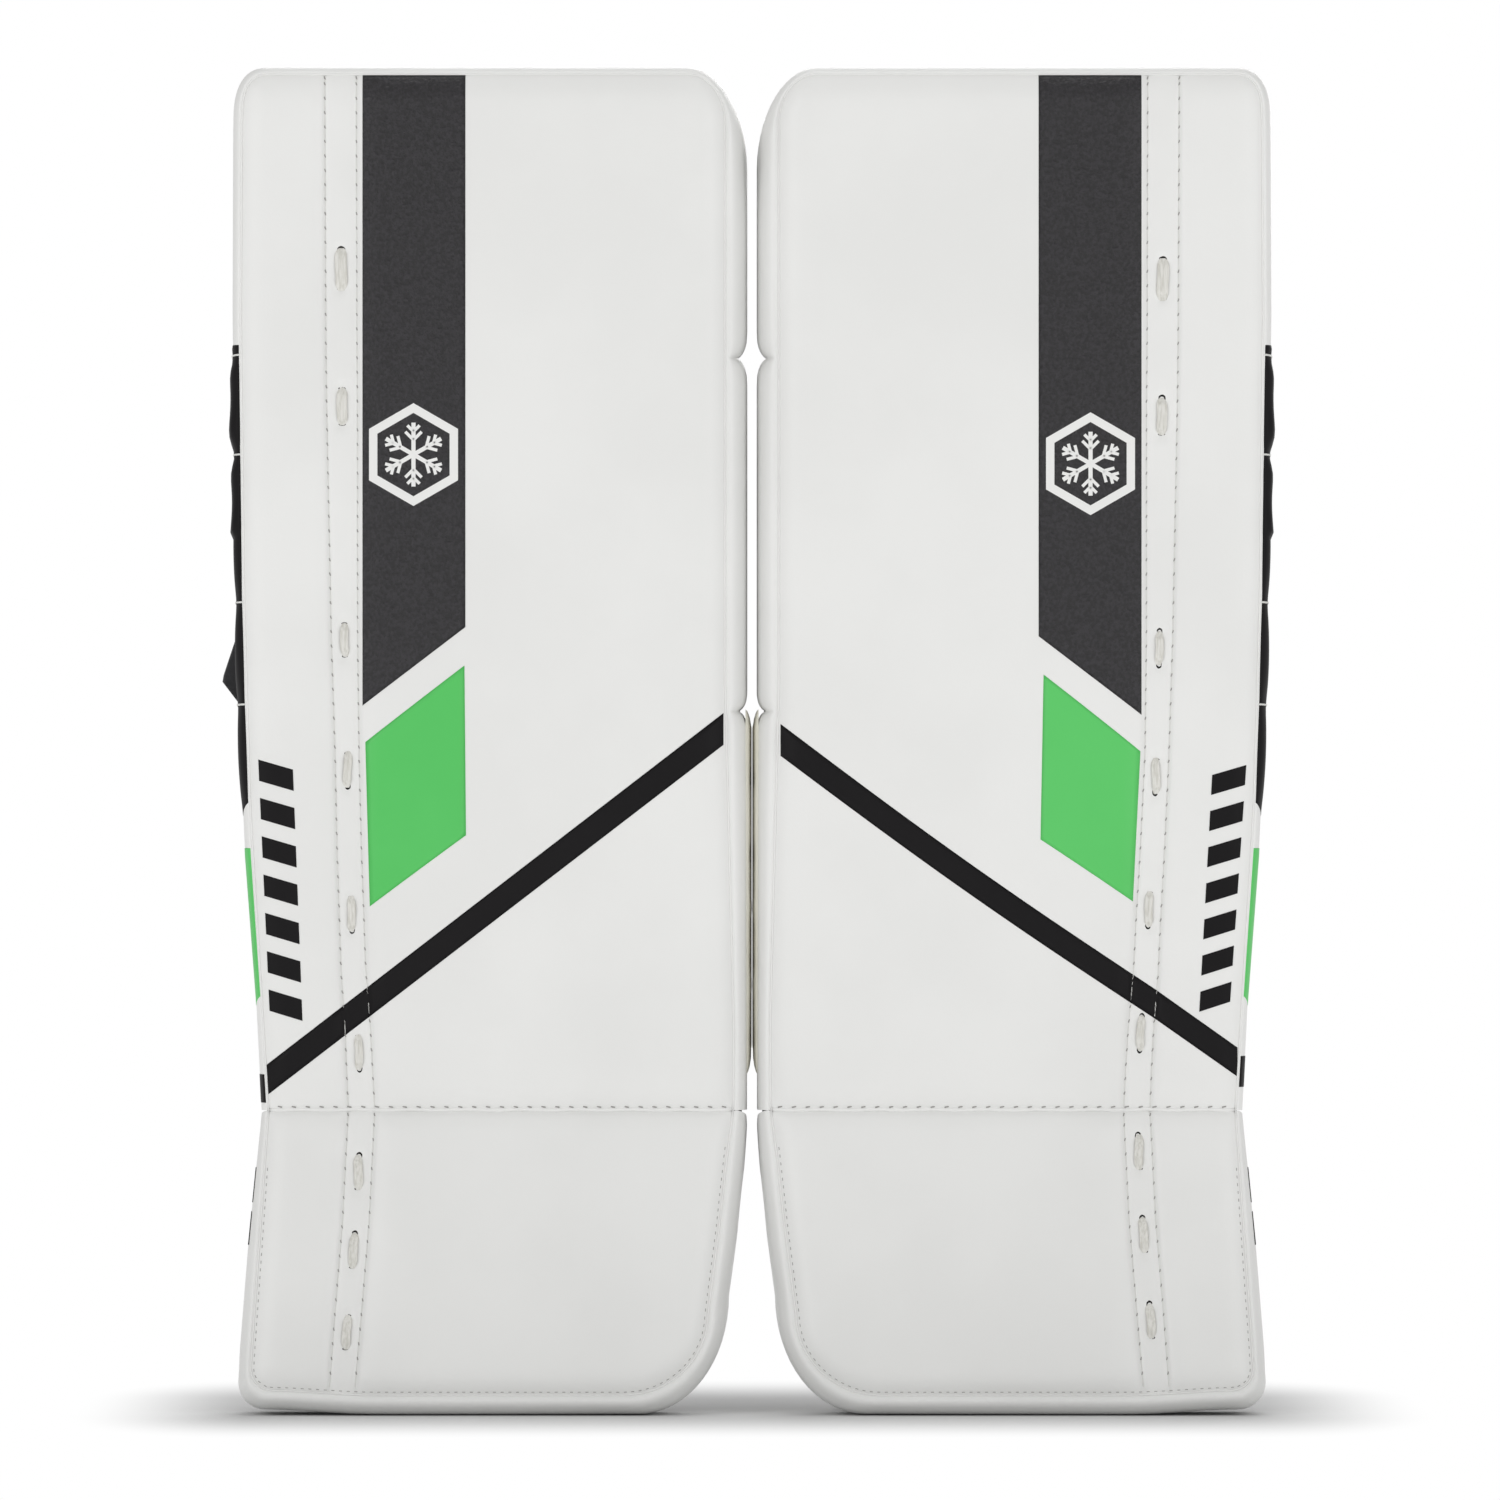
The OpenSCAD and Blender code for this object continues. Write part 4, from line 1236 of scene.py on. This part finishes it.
STUFFED = [
    Stuffed("knee_cradle", LINER, "shin", "liner_padding", 4.5, 0.6,
            lines=[((x, 396), (x, 556)) for x in (97, 175)] + [((97, z), (175, z)) for z in (436, 476, 516)]),
    Stuffed("shin_cradle", LINER, "shin", "liner_padding", 4.5, 0.6,
            lines=[((x, 194), (x, 380)) for x in (57, 179)] + [((57, z), (179, z)) for z in (238, 287, 336)]),
    Stuffed("knee_block", CREAM, "shin", "slide_padding", 5.0, 0.85,
            lines=[((14, 448), (64, 448)), ((14, 504), (64, 504))], inner=4.6),
    Stuffed("boot_walls", PAD_WHITE, "boot", "white_padding", 3.5, 0.8, 4.5, floor=0.2),
    Stuffed("knee_wing", PAD_WHITE, "knee_wing", "white_padding", 3.0, 0.7, 4.0,
            lines=[((180, 486), (206, 486))]),
    Stuffed("outer_calf_wing", PAD_WHITE, "outer_calf_wing", "white_padding", 3.0, 0.7, 4.0,
            lines=[((176, 286), (208, 286))]),
    Stuffed("inner_calf_wing", CREAM, "inner_calf_wing", "slide_padding", 3.0, 0.8, 4.0),
]


def settle(piece):
    """Applies a piece's modifiers."""
    graph = bpy.context.evaluated_depsgraph_get()
    mesh = bpy.data.meshes.new_from_object(piece.evaluated_get(graph))
    piece.modifiers.clear()
    piece.data = mesh


def positions(mesh):
    co = np.empty(len(mesh.vertices) * 3)
    mesh.vertices.foreach_get("co", co)
    return co.reshape(-1, 3)


def normals_of(mesh):
    n = np.empty(len(mesh.vertices) * 3)
    mesh.vertex_normals.foreach_get("vector", n)
    return n.reshape(-1, 3)


def set_positions(mesh, co):
    mesh.vertices.foreach_set("co", co.ravel())
    mesh.update()


def stuff_all():
    """Swells the right pad's padded pieces together as cloth under pressure."""
    starts = []
    for item in STUFFED:
        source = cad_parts[f"right_{item.node}"]
        piece = bpy.data.objects.new(f"right_{item.node}_padding", source.data.copy())
        bpy.context.scene.collection.objects.link(piece)
        even = piece.modifiers.new("even", "REMESH")
        even.mode = "VOXEL"
        even.voxel_size = item.voxel * MM
        soften = piece.modifiers.new("soften", "SMOOTH")
        soften.factor, soften.iterations = 0.5, 3
        settle(piece)
        co = positions(piece.data) - normals_of(piece.data) * item.swell * 0.55 * MM
        set_positions(piece.data, co)
        starts.append((item, piece, co))
        stuffing = piece.modifiers.new("stuffing", "CLOTH")
        stuffing.settings.use_pressure = True
        stuffing.settings.uniform_pressure_force = 4
        stuffing.settings.effector_weights.gravity = 0
        stuffing.settings.quality = 4
    for step in range(1, 21):
        bpy.context.scene.frame_set(step)
    for item, piece, start in starts:
        settle(piece)
        finish_stuffed(item, piece, start)
    bpy.context.scene.frame_set(1)
    return {item.node: piece for item, piece, start in starts}


def finish_stuffed(item, piece, start):
    """Caps how far a cover has moved, rounds it with one subdivision and draws its sewn lines in."""
    moved = positions(piece.data) - start
    length = np.linalg.norm(moved, axis=1, keepdims=True)
    cap = item.swell * MM
    co = start + moved * np.minimum(1, cap / np.maximum(length, 1e-9))
    set_positions(piece.data, co)
    round_off = piece.modifiers.new("round", "SUBSURF")
    round_off.levels = round_off.render_levels = 1
    settle(piece)
    co, n = positions(piece.data), normals_of(piece.data)
    x, z = co[:, 0] / MM, co[:, 2] / MM
    for line in item.lines:
        d = distance_to(x, z, outline_arrays(line))
        co[:, 1] -= np.where(n[:, 1] > 0.25, 3.4 * np.exp(-((d / 3.6) ** 2)), 0) * MM
    if item.node != "boot_walls":
        co[:, 1] = np.maximum(co[:, 1], (FACE_Y + SLAB + 0.9) * MM)
    co[:, 0] = np.maximum(co[:, 0], item.inner * MM)
    if item.floor is not None:
        co[:, 2] = np.maximum(co[:, 2], item.floor * MM)
    set_positions(piece.data, co)
    piece.data.materials.clear()
    piece.data.materials.append(item.finish)
    piece.data.polygons.foreach_set("use_smooth", [True] * len(piece.data.polygons))


def left_twin(piece):
    """The same piece on the left pad."""
    mesh = piece.data.copy()
    mesh.transform(Matrix.Diagonal((-1, 1, 1, 1)))
    mesh.flip_normals()
    twin = bpy.data.objects.new(piece.name.replace("right_", "left_"), mesh)
    bpy.context.scene.collection.objects.link(twin)
    return twin


def stitch_run(piece, path, aim, pitch=6.5, radius=0.45):
    """Stitches laid on a piece along a path, found by looking along aim. Path in pad millimetres."""
    tree = BVHTree.FromPolygons([v.co for v in piece.data.vertices],
                                [p.vertices for p in piece.data.polygons])
    found = []
    path = [np.array(p, float) for p in path]
    for a, b in zip(path[:-1], path[1:]):
        count = max(1, int(np.linalg.norm(b - a) / pitch))
        for k in range(count):
            spots = []
            for t in (k + 0.12, k + 0.5, k + 0.82):
                p = a + (b - a) * t / count
                start = Vector((p[0] * MM, (p[1] + FACE_Y) * MM, p[2] * MM)) - Vector(aim) * 0.2
                hit, normal, _, _ = tree.ray_cast(start, Vector(aim))
                if hit is not None:
                    lift = 0.3 if t == k + 0.5 else 0.02
                    q = hit + normal * lift * MM
                    spots.append((q.x / MM, q.y / MM - FACE_Y, q.z / MM))
            if len(spots) == 3:
                found.append((spots, radius))
    return found


def stuffed_stitches(pieces):
    """The stitch lines on the padded pieces, as {node: tubes}."""
    back = (0, -1, 0)
    found = {}
    for item in STUFFED:
        tubes = []
        for (xa, za), (xb, zb) in item.lines:
            tubes += stitch_run(pieces[item.node], [(xa, 0, za), (xb, 0, zb)], back)
        found[item.node] = tubes
    side = (-1, 0, 0)
    found["knee_wing"] += stitch_run(pieces["knee_wing"], [(0, 72, 410), (0, 72, 562)], side)
    found["outer_calf_wing"] += stitch_run(pieces["outer_calf_wing"], [(0, 72, 208), (0, 72, 364)], side)
    wall = pieces["boot_walls"]
    found["boot_walls"] += stitch_run(wall, [(0, 70, 124), (0, 92, 112), (0, 95, 34), (0, 60, 20)], side)
    return found


# ---------------------------------------------------------------- straps

def band(name, side, x0, x1, y, z0, z1, thick, finish, round_end=8.0):
    """Flat webbing across the back, from its sewn root at x0 to its free end at x1."""
    bits = Bits()
    rows = []
    middle, half = (z0 + z1) / 2, (z1 - z0) / 2
    way = 1 if x1 > x0 else -1
    for t in [0, 0.004, 0.012, *np.linspace(0.025, 0.93, 40), 0.955, 0.97, 0.982, 0.992, 1]:
        x = x0 + t * (x1 - x0)
        left = abs(x1 - x)
        h = half
        if left < round_end:
            h = half - round_end * (1 - math.sqrt(max(0, 1 - (1 - left / round_end) ** 2)))
        bulge = 0.20 * math.sin(t * 17) * math.sin(math.pi * t)
        slim = 0.35 if t in (0, 1) else 1
        row = []
        for a in np.linspace(0, 2 * math.pi, 26, endpoint=False):
            c, s = math.cos(a), math.sin(a)
            u = (h - 0.4) * math.copysign(abs(c) ** 0.30, c)
            v = slim * thick / 2 * math.copysign(abs(s) ** 0.55, s)
            row.append((x, y + thick / 2 + bulge + v, middle + u))
        rows.append(row if way < 0 else row[::-1])
    bits.rows(rows, ring=True)
    last = len(bits.points)
    bits.faces.append(tuple(range(26))[::-1])
    bits.faces.append(tuple(range(last - 26, last)))
    return bits.piece(name, side, finish)


STRAPS = ("knee_strap", "calf_strap", "boot_strap")
STRAP_THICK = 2.5


def box_stitch(x0, x1, z0, z1, y):
    """A sewn box with a cross in it, as tubes."""
    corners = [(x0, y, z0), (x1, y, z0), (x1, y, z1), (x0, y, z1), (x0, y, z0), (x1, y, z1)]
    corners += [(x1, y, z0), (x0, y, z1)]
    tubes = []
    for a, b in zip(corners[:-1], corners[1:]):
        a, b = np.array(a), np.array(b)
        count = max(2, int(np.linalg.norm(b - a) / 3.2))
        for k in range(count):
            p, q = a + (b - a) * (k + 0.15) / count, a + (b - a) * (k + 0.8) / count
            mid = (p + q) / 2 + np.array((0, 0.25, 0))
            tubes.append(([tuple(p), tuple(mid), tuple(q)], 0.33))
    return tubes


def eyelet_sheet(name, side, centre, along_u, along_v, reach, hole, thick, finish):
    """A flat piece of webbing around a hole; reach(angle) is its edge's distance from the hole."""
    centre, u, v = np.array(centre, float), np.array(along_u, float), np.array(along_v, float)
    normal = np.cross(u, v)
    angles = np.linspace(0, 2 * math.pi, 96, endpoint=False)
    shares = [0, 0.04, 0.12, 0.25, 0.4, 0.55, 0.7, 0.84, 0.94, 0.98, 1.0]
    rings = []
    for top in (1, -1):
        order = shares if top > 0 else shares[::-1]
        for t in order:
            edge = 0.5 * (1 if 0 < t < 1 else 0.45)
            ring = []
            for a in angles:
                r = hole + t * (reach(a) - hole)
                p = centre + r * (math.cos(a) * u + math.sin(a) * v) + top * edge * thick * normal
                ring.append(tuple(p))
            rings.append(ring)
    rings.append(rings[0])
    bits = Bits()
    bits.rows(rings, ring=True)
    piece = bits.piece(name, side, finish)
    fix_normals(piece)
    return piece


def fix_normals(piece):
    mesh = bmesh.new()
    mesh.from_mesh(piece.data)
    bmesh.ops.remove_doubles(mesh, verts=mesh.verts, dist=1e-6)
    bmesh.ops.recalc_face_normals(mesh, faces=mesh.faces)
    mesh.to_mesh(piece.data)
    mesh.free()


def turned(name, side, centre, axis, profile, finish, steps=40):
    """A turned part: profile is [distance along the axis, radius] from centre."""
    axis = np.array(axis, float)
    a = np.cross(axis, (0.3, 0.9, 0.31))
    a /= np.linalg.norm(a)
    b = np.cross(axis, a)
    rings = [[tuple(np.array(centre) + axis * d + r * (math.cos(t) * a + math.sin(t) * b))
              for t in np.linspace(0, 2 * math.pi, steps, endpoint=False)] for d, r in profile]
    bits = Bits()
    bits.rows(rings, ring=True)
    piece = bits.piece(name, side, finish)
    fix_normals(piece)
    return piece


TAB_PIVOT = (250, 61, 372)
TAB_POINTS = [(43, 29), (29, 71), (-12, 12), (12, -12)]
TAB_ROOT_R, TAB_HOLE, TAB_THICK = 17, 2.7, 2.3
TAB_TURN = {"left": 0, "right": 142}


def polygon_reach(points, angle):
    """Distance from the origin to a convex outline in a direction, or 0."""
    d = np.array([math.cos(angle), math.sin(angle)])
    best = 0.0
    for (ax, ay), (bx, by) in zip(points, points[1:] + points[:1]):
        e = np.array([bx - ax, by - ay])
        det = d[0] * -e[1] + d[1] * e[0]
        if abs(det) < 1e-9:
            continue
        r = (ax * -e[1] + ay * e[0]) / det
        s = (d[0] * ay - d[1] * ax) / det
        if 0 <= s <= 1 and r > best:
            best = r
    return best


def strap_tab(side):
    turn = math.radians(TAB_TURN[side])
    u = (math.cos(turn), 0, -math.sin(turn))
    v = (math.sin(turn), 0, math.cos(turn))
    centre = (TAB_PIVOT[0], TAB_PIVOT[1] + TAB_THICK / 2 + 0.05, TAB_PIVOT[2])

    def reach(a):
        return max(TAB_ROOT_R, polygon_reach(TAB_POINTS, a)) - 0.2

    return eyelet_sheet("tab_webbing", side, centre, u, v, reach, TAB_HOLE, TAB_THICK, WEBBING)


TOE_DIP = math.radians(5.5)
TOE_LEN, TOE_THICK, TOE_EYE = 62, 2.5, 4.0
PIN_R, LOOP_R = 3.07, 5.5
TOE_PIN = (30.346, 9.616)   # depth behind the face and height of the bridge's pin


def toe_strap(side):
    """Webbing looped round the pin of the toe bridge, with an eye near its end."""
    lo, hi = low(f"right_toe_strap"), high(f"right_toe_strap")
    half, middle = (hi[0] - lo[0]) / 2, (hi[0] + lo[0]) / 2
    pin_y, pin_z = TOE_PIN
    along_strap = np.array([0, math.cos(TOE_DIP), -math.sin(TOE_DIP)])
    eye = np.array([middle, pin_y, pin_z]) + along_strap * (TOE_LEN - 12)
    outline_back = LOOP_R - 1.0

    def reach(a):
        c, s = math.cos(a), math.sin(a)
        best = 1e9
        if c < 0:
            best = min(best, (TOE_LEN - 12 - outline_back) / -c)
        if abs(s) > 1e-6:
            best = min(best, (half - 0.3) / abs(s))
        dx = -(12 - half)
        b = c * dx
        disc = b * b - (dx * dx - (half - 0.3) ** 2)
        if disc > 0:
            round_reach = b + math.sqrt(disc)
            if c * round_reach > dx or c > 0:
                best = min(best, round_reach)
        return best

    flat = eyelet_sheet("toe_strap_webbing", side, eye, along_strap, (1, 0, 0), reach,
                        TOE_EYE, TOE_THICK, WEBBING)
    loop = turned("toe_strap_loop", side, (middle - half + 0.3, pin_y, pin_z), (1, 0, 0),
                  [(0, PIN_R), (0, LOOP_R - 0.5), (0.5, LOOP_R), (2 * half - 1.1, LOOP_R),
                   (2 * half - 0.6, LOOP_R - 0.5), (2 * half - 0.6, PIN_R), (0, PIN_R)], WEBBING)
    ring_profile = [(1.25 + 0.9 * math.sin(t), 5.0 + 0.95 * math.cos(t))
                    for t in np.linspace(math.pi, -math.pi, 13)]
    normal = np.cross(along_strap, (1, 0, 0))
    rings = []
    for hand in (1, -1):
        rings.append(turned(f"toe_eye_{'upper' if hand > 0 else 'lower'}_ring", side, eye, normal * hand,
                            ring_profile, STEEL))
    return flat, loop, rings


def rivet(side):
    """Post and domed head that the strap tab turns on."""
    dome = [(5.3 - 1.2 * (1 - math.cos(a)), 5.0 * math.sin(a)) for a in np.linspace(0.02, math.pi / 2, 8)]
    profile = [(0.2, 2.5), (3.8, 2.5), (3.8, 5.0), (4.1, 5.0), *dome[::-1]]
    return turned("tab_rivet", side, (TAB_PIVOT[0], SLAB, TAB_PIVOT[2]), (0, 1, 0), profile, STEEL)


# ---------------------------------------------------------------- set

FLOOR_HALF = 9.0
# Painted contact shadow: the floor's glow grows with distance from this footprint.
FOOTPRINT = (0.27, 0.10, 1.0)   # half the pads' width and depth; the floor glows outside it


def studio():
    """A grey floor with painted light: it glows more the further it is from the pads, up to plain white, so
    the darker floor round the pads is a painted contact shadow; and soft lights round them.
    """
    mesh = bpy.data.meshes.new("floor")
    ticks = np.linspace(-FLOOR_HALF, FLOOR_HALF, 13)
    mesh.from_pydata([(x, y, -0.0004) for y in ticks for x in ticks], [], sheet_faces(13, 13))
    floor = bpy.data.objects.new("floor", mesh)
    paint = Finish("pale_floor", (0.62, 0.62, 0.62), 0.9)
    paint.bump(paint.noise(60, 2), 0.05, 0.1)
    where = paint.node("ShaderNodeTexCoord", output="Object")
    outside = paint.node("ShaderNodeVectorMath", {"operation": "ABSOLUTE"}, {0: where}, "Vector")
    outside = paint.node("ShaderNodeVectorMath", {"operation": "SUBTRACT"},
                         {0: outside, 1: FOOTPRINT}, "Vector")
    outside = paint.node("ShaderNodeVectorMath", {"operation": "MAXIMUM"},
                         {0: outside, 1: (0, 0, 0)}, "Vector")
    outside = paint.node("ShaderNodeVectorMath", {"operation": "MULTIPLY"},
                         {0: outside, 1: (2.6, 1, 1)}, "Vector")
    away = paint.node("ShaderNodeVectorMath", {"operation": "LENGTH"}, {0: outside}, "Value")
    # Painted light: emission mixed into the floor, none at the footprint and full about 0.27 m beyond it.
    glow = paint.node("ShaderNodeEmission", {}, {"Color": (1, 1, 1), "Strength": 1.0})
    both = paint.node("ShaderNodeMixShader", {}, {0: away.band(-0.01, 0.27)})
    paint.tree.links.new(paint.shader.outputs[0], both.socket.node.inputs[1])
    paint.tree.links.new(glow.socket, both.socket.node.inputs[2])
    paint.tree.links.new(both.socket, paint.tree.nodes["Material Output"].inputs["Surface"])
    mesh.materials.append(paint.material)
    bpy.context.scene.collection.objects.link(floor)
    room()
    for name, place, size, watts, aim in LIGHTS:
        lamp = bpy.data.lights.new(name, "AREA")
        lamp.size, lamp.energy = size, watts
        holder = bpy.data.objects.new(name, lamp)
        holder.location = place
        holder.rotation_euler = (Vector(aim) - Vector(place)).to_track_quat("-Z", "Y").to_euler()
        bpy.context.scene.collection.objects.link(holder)


# Name, place, size, watts and what each light points at.
LIGHTS = [
    ("left_softbox", (-2.4, -2.8, 1.5), 1.8, 27, (0, 0, 0.35)),
    ("right_softbox", (2.4, -2.8, 1.3), 1.8, 23, (0, 0, 0.35)),
    ("overhead", (0, 0.25, 2.6), 1.0, 8, (0, 0.2, 0)),
    ("low_front", (0, -1.1, 0.06), 0.5, 0.8, (0, -0.05, 0.02)),
    ("rear_softbox", (0.6, 3.2, 1.8), 2.2, 40, (0, 0, 0.35)),
]


def room():
    """White walls: bright where they are seen, dimmer as a light."""
    world = bpy.data.worlds.new("room")
    world.use_nodes = True
    tree = world.node_tree
    dim, bright = tree.nodes["Background"], tree.nodes.new("ShaderNodeBackground")
    dim.inputs["Color"].default_value = bright.inputs["Color"].default_value = (1, 1, 1, 1)
    dim.inputs["Strength"].default_value = 0.5
    bright.inputs["Strength"].default_value = 1.0
    seen, both = tree.nodes.new("ShaderNodeLightPath"), tree.nodes.new("ShaderNodeMixShader")
    tree.links.new(seen.outputs["Is Camera Ray"], both.inputs[0])
    tree.links.new(dim.outputs[0], both.inputs[1])
    tree.links.new(bright.outputs[0], both.inputs[2])
    tree.links.new(both.outputs[0], tree.nodes["World Output"].inputs["Surface"])
    bpy.context.scene.world = world


CAMERA_BACK = 8.0
FRAME_WIDTH = 0.822    # metres across the frame at the pads' faces
CAMERA_Z = 0.3627


def camera():
    data = bpy.data.cameras.new("camera")
    data.sensor_width = 36
    data.lens = 36 * CAMERA_BACK / FRAME_WIDTH
    holder = bpy.data.objects.new("camera", data)
    holder.location = (-0.0011, FACE_Y * MM - CAMERA_BACK, CAMERA_Z)
    holder.rotation_euler = (math.pi / 2, 0, 0)
    bpy.context.scene.collection.objects.link(holder)
    bpy.context.scene.camera = holder
    bpy.context.scene.view_settings.view_transform = "Standard"


def body(side, name):
    return f"{side}_{name}_body"


def bend_at_knee(piece, side):
    """Bakes the place of a piece that runs over the knee break into its mesh; it is attached to neither the
    shin nor the thigh.
    """
    body(side, "shin")
    body(side, "thigh")
    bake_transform(piece)
    return piece


studio()
camera()
stuffed = stuff_all()
tubes_of = stuffed_stitches(stuffed)
for side in SIDES:
    pad.begin(side)
    for item in STUFFED:
        padding = stuffed[item.node] if side == "right" else left_twin(stuffed[item.node])
        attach(padding, body(side, item.body_name))
        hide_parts(f"{side}_{item.node}")
        if tubes_of[item.node]:
            sewn = tubes_piece(f"{item.node}_stitches", side, tubes_of[item.node],
                               DARK_THREAD if item.finish is LINER else THREAD)
            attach(sewn, body(side, item.body_name))

    cover = bend_at_knee(face_cover(side, True), side)
    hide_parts(f"{side}_thigh_face", f"{side}_shin_face")
    edge = bend_at_knee(gusset(side, True), side)
    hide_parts(f"{side}_thigh_casing", f"{side}_shin_casing",
                f"{side}_thigh_core", f"{side}_shin_core")
    boot_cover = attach(face_cover(side, False), body(side, "boot"))
    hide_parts(f"{side}_boot_face")
    boot_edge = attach(gusset(side, False), body(side, "boot"))
    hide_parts(f"{side}_boot_casing", f"{side}_boot_core")
    bend_at_knee(back_cover(side, True), side)
    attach(back_cover(side, False), body(side, "boot"))
    bellows = ankle_gusset(side)
    body(side, "boot")
    body(side, "shin")
    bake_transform(bellows)

    black, green, stripe = (bend_at_knee(p, side) for p in colour_panels(side))
    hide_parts(f"{side}_thigh_stripe")
    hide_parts(f"{side}_shin_stripes")
    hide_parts(f"{side}_green_inlay")
    bend_at_knee(badge(side), side)
    bend_at_knee(slanted_bars(side), side)

    for upper in (True, False):
        threads, marks = channel_stitches(upper)
        label = "upper" if upper else "boot"
        if upper:
            marks += boot_seam_marks()
        else:
            marks += perimeter_marks(BOOT_SEAM, boot_y, 4, len(BOOT_SEAM) - 6)
        # The needle marks are grey, painted shade of the needle holes.
        pieces = [tubes_piece(f"{label}_channel_thread", side, threads, THREAD),
                  tubes_piece(f"{label}_needle_marks", side, marks, HOLE)]
        welt = seam_welt(UPPER_SEAM if upper else BOOT_SEAM, upper).piece(
            f"{label}_seam_piping", side, WHITE if upper else BOOT_WHITE)
        ribbon, holes = laces(side, upper)
        for p in (*pieces, welt, ribbon, holes):
            bend_at_knee(p, side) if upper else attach(p, body(side, "boot"))
        laced = ("thigh", "shin") if upper else ("boot",)
        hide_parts(*(f"{side}_{section}_lace" for section in laced))
    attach(boot_welt(side), body(side, "shin"))

    bend_at_knee(outer_gusset_patch("side_black", side, *SIDE_BLACK, BLACK, slant=14,
                                            swell=between_ties), side)
    bend_at_knee(outer_gusset_patch("side_green", side, *SIDE_GREEN, GREEN_LEATHER, slant=10), side)
    stripe_end = outer_gusset_patch("side_stripe_end", side, *STRIPE_END[side], BLACK)
    bend_at_knee(stripe_end, side)
    for name, span in (("side_mark_upper", (115, 134)), ("side_mark_lower", (92, 110))):
        mark = outer_gusset_patch(name, side, *span, BLACK, 0.86, upper=False)
        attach(mark, body(side, "boot"))
    bend_at_knee(side_ties(side), side)
    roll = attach(calf_roll(side), body(side, "shin"))

    for strap in STRAPS:
        lo, hi = low(f"right_{strap}"), high(f"right_{strap}")
        back = hi[1] - FACE_Y
        webbing = band(f"{strap}_webbing", side, hi[0] - 1, lo[0] + 0.2, back - STRAP_THICK,
                       lo[2], hi[2], STRAP_THICK, WEBBING)
        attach(webbing, body(side, strap))
        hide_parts(f"{side}_{strap}")
        boxes = box_stitch(hi[0] - 22, hi[0] - 5, lo[2] + 5, hi[2] - 5, back + 0.12)
        boxes += box_stitch(lo[0] + 12, lo[0] + 24, lo[2] + 5, hi[2] - 5, back + 0.12)
        sewn = tubes_piece(f"{strap}_box_stitches", side, boxes, GREY_THREAD)
        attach(sewn, body(side, strap))
    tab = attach(strap_tab(side), body(side, "strap_tab"))
    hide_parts(f"{side}_strap_tab")
    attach(rivet(side), body(side, "shin"))
    flat, loop, rings = toe_strap(side)
    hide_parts(f"{side}_toe_strap")
    for p in (flat, loop):
        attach(p, body(side, "toe_strap"))
    for p in rings:
        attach(p, body(side, "toe_strap"))
    for node, finish in (("toe_bridge", PLASTIC), ("strap_slider", PLASTIC), ("shin_board", BOARD)):
        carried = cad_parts[f"{side}_{node}"]
        carried.data.materials.clear()
        carried.data.materials.append(finish)
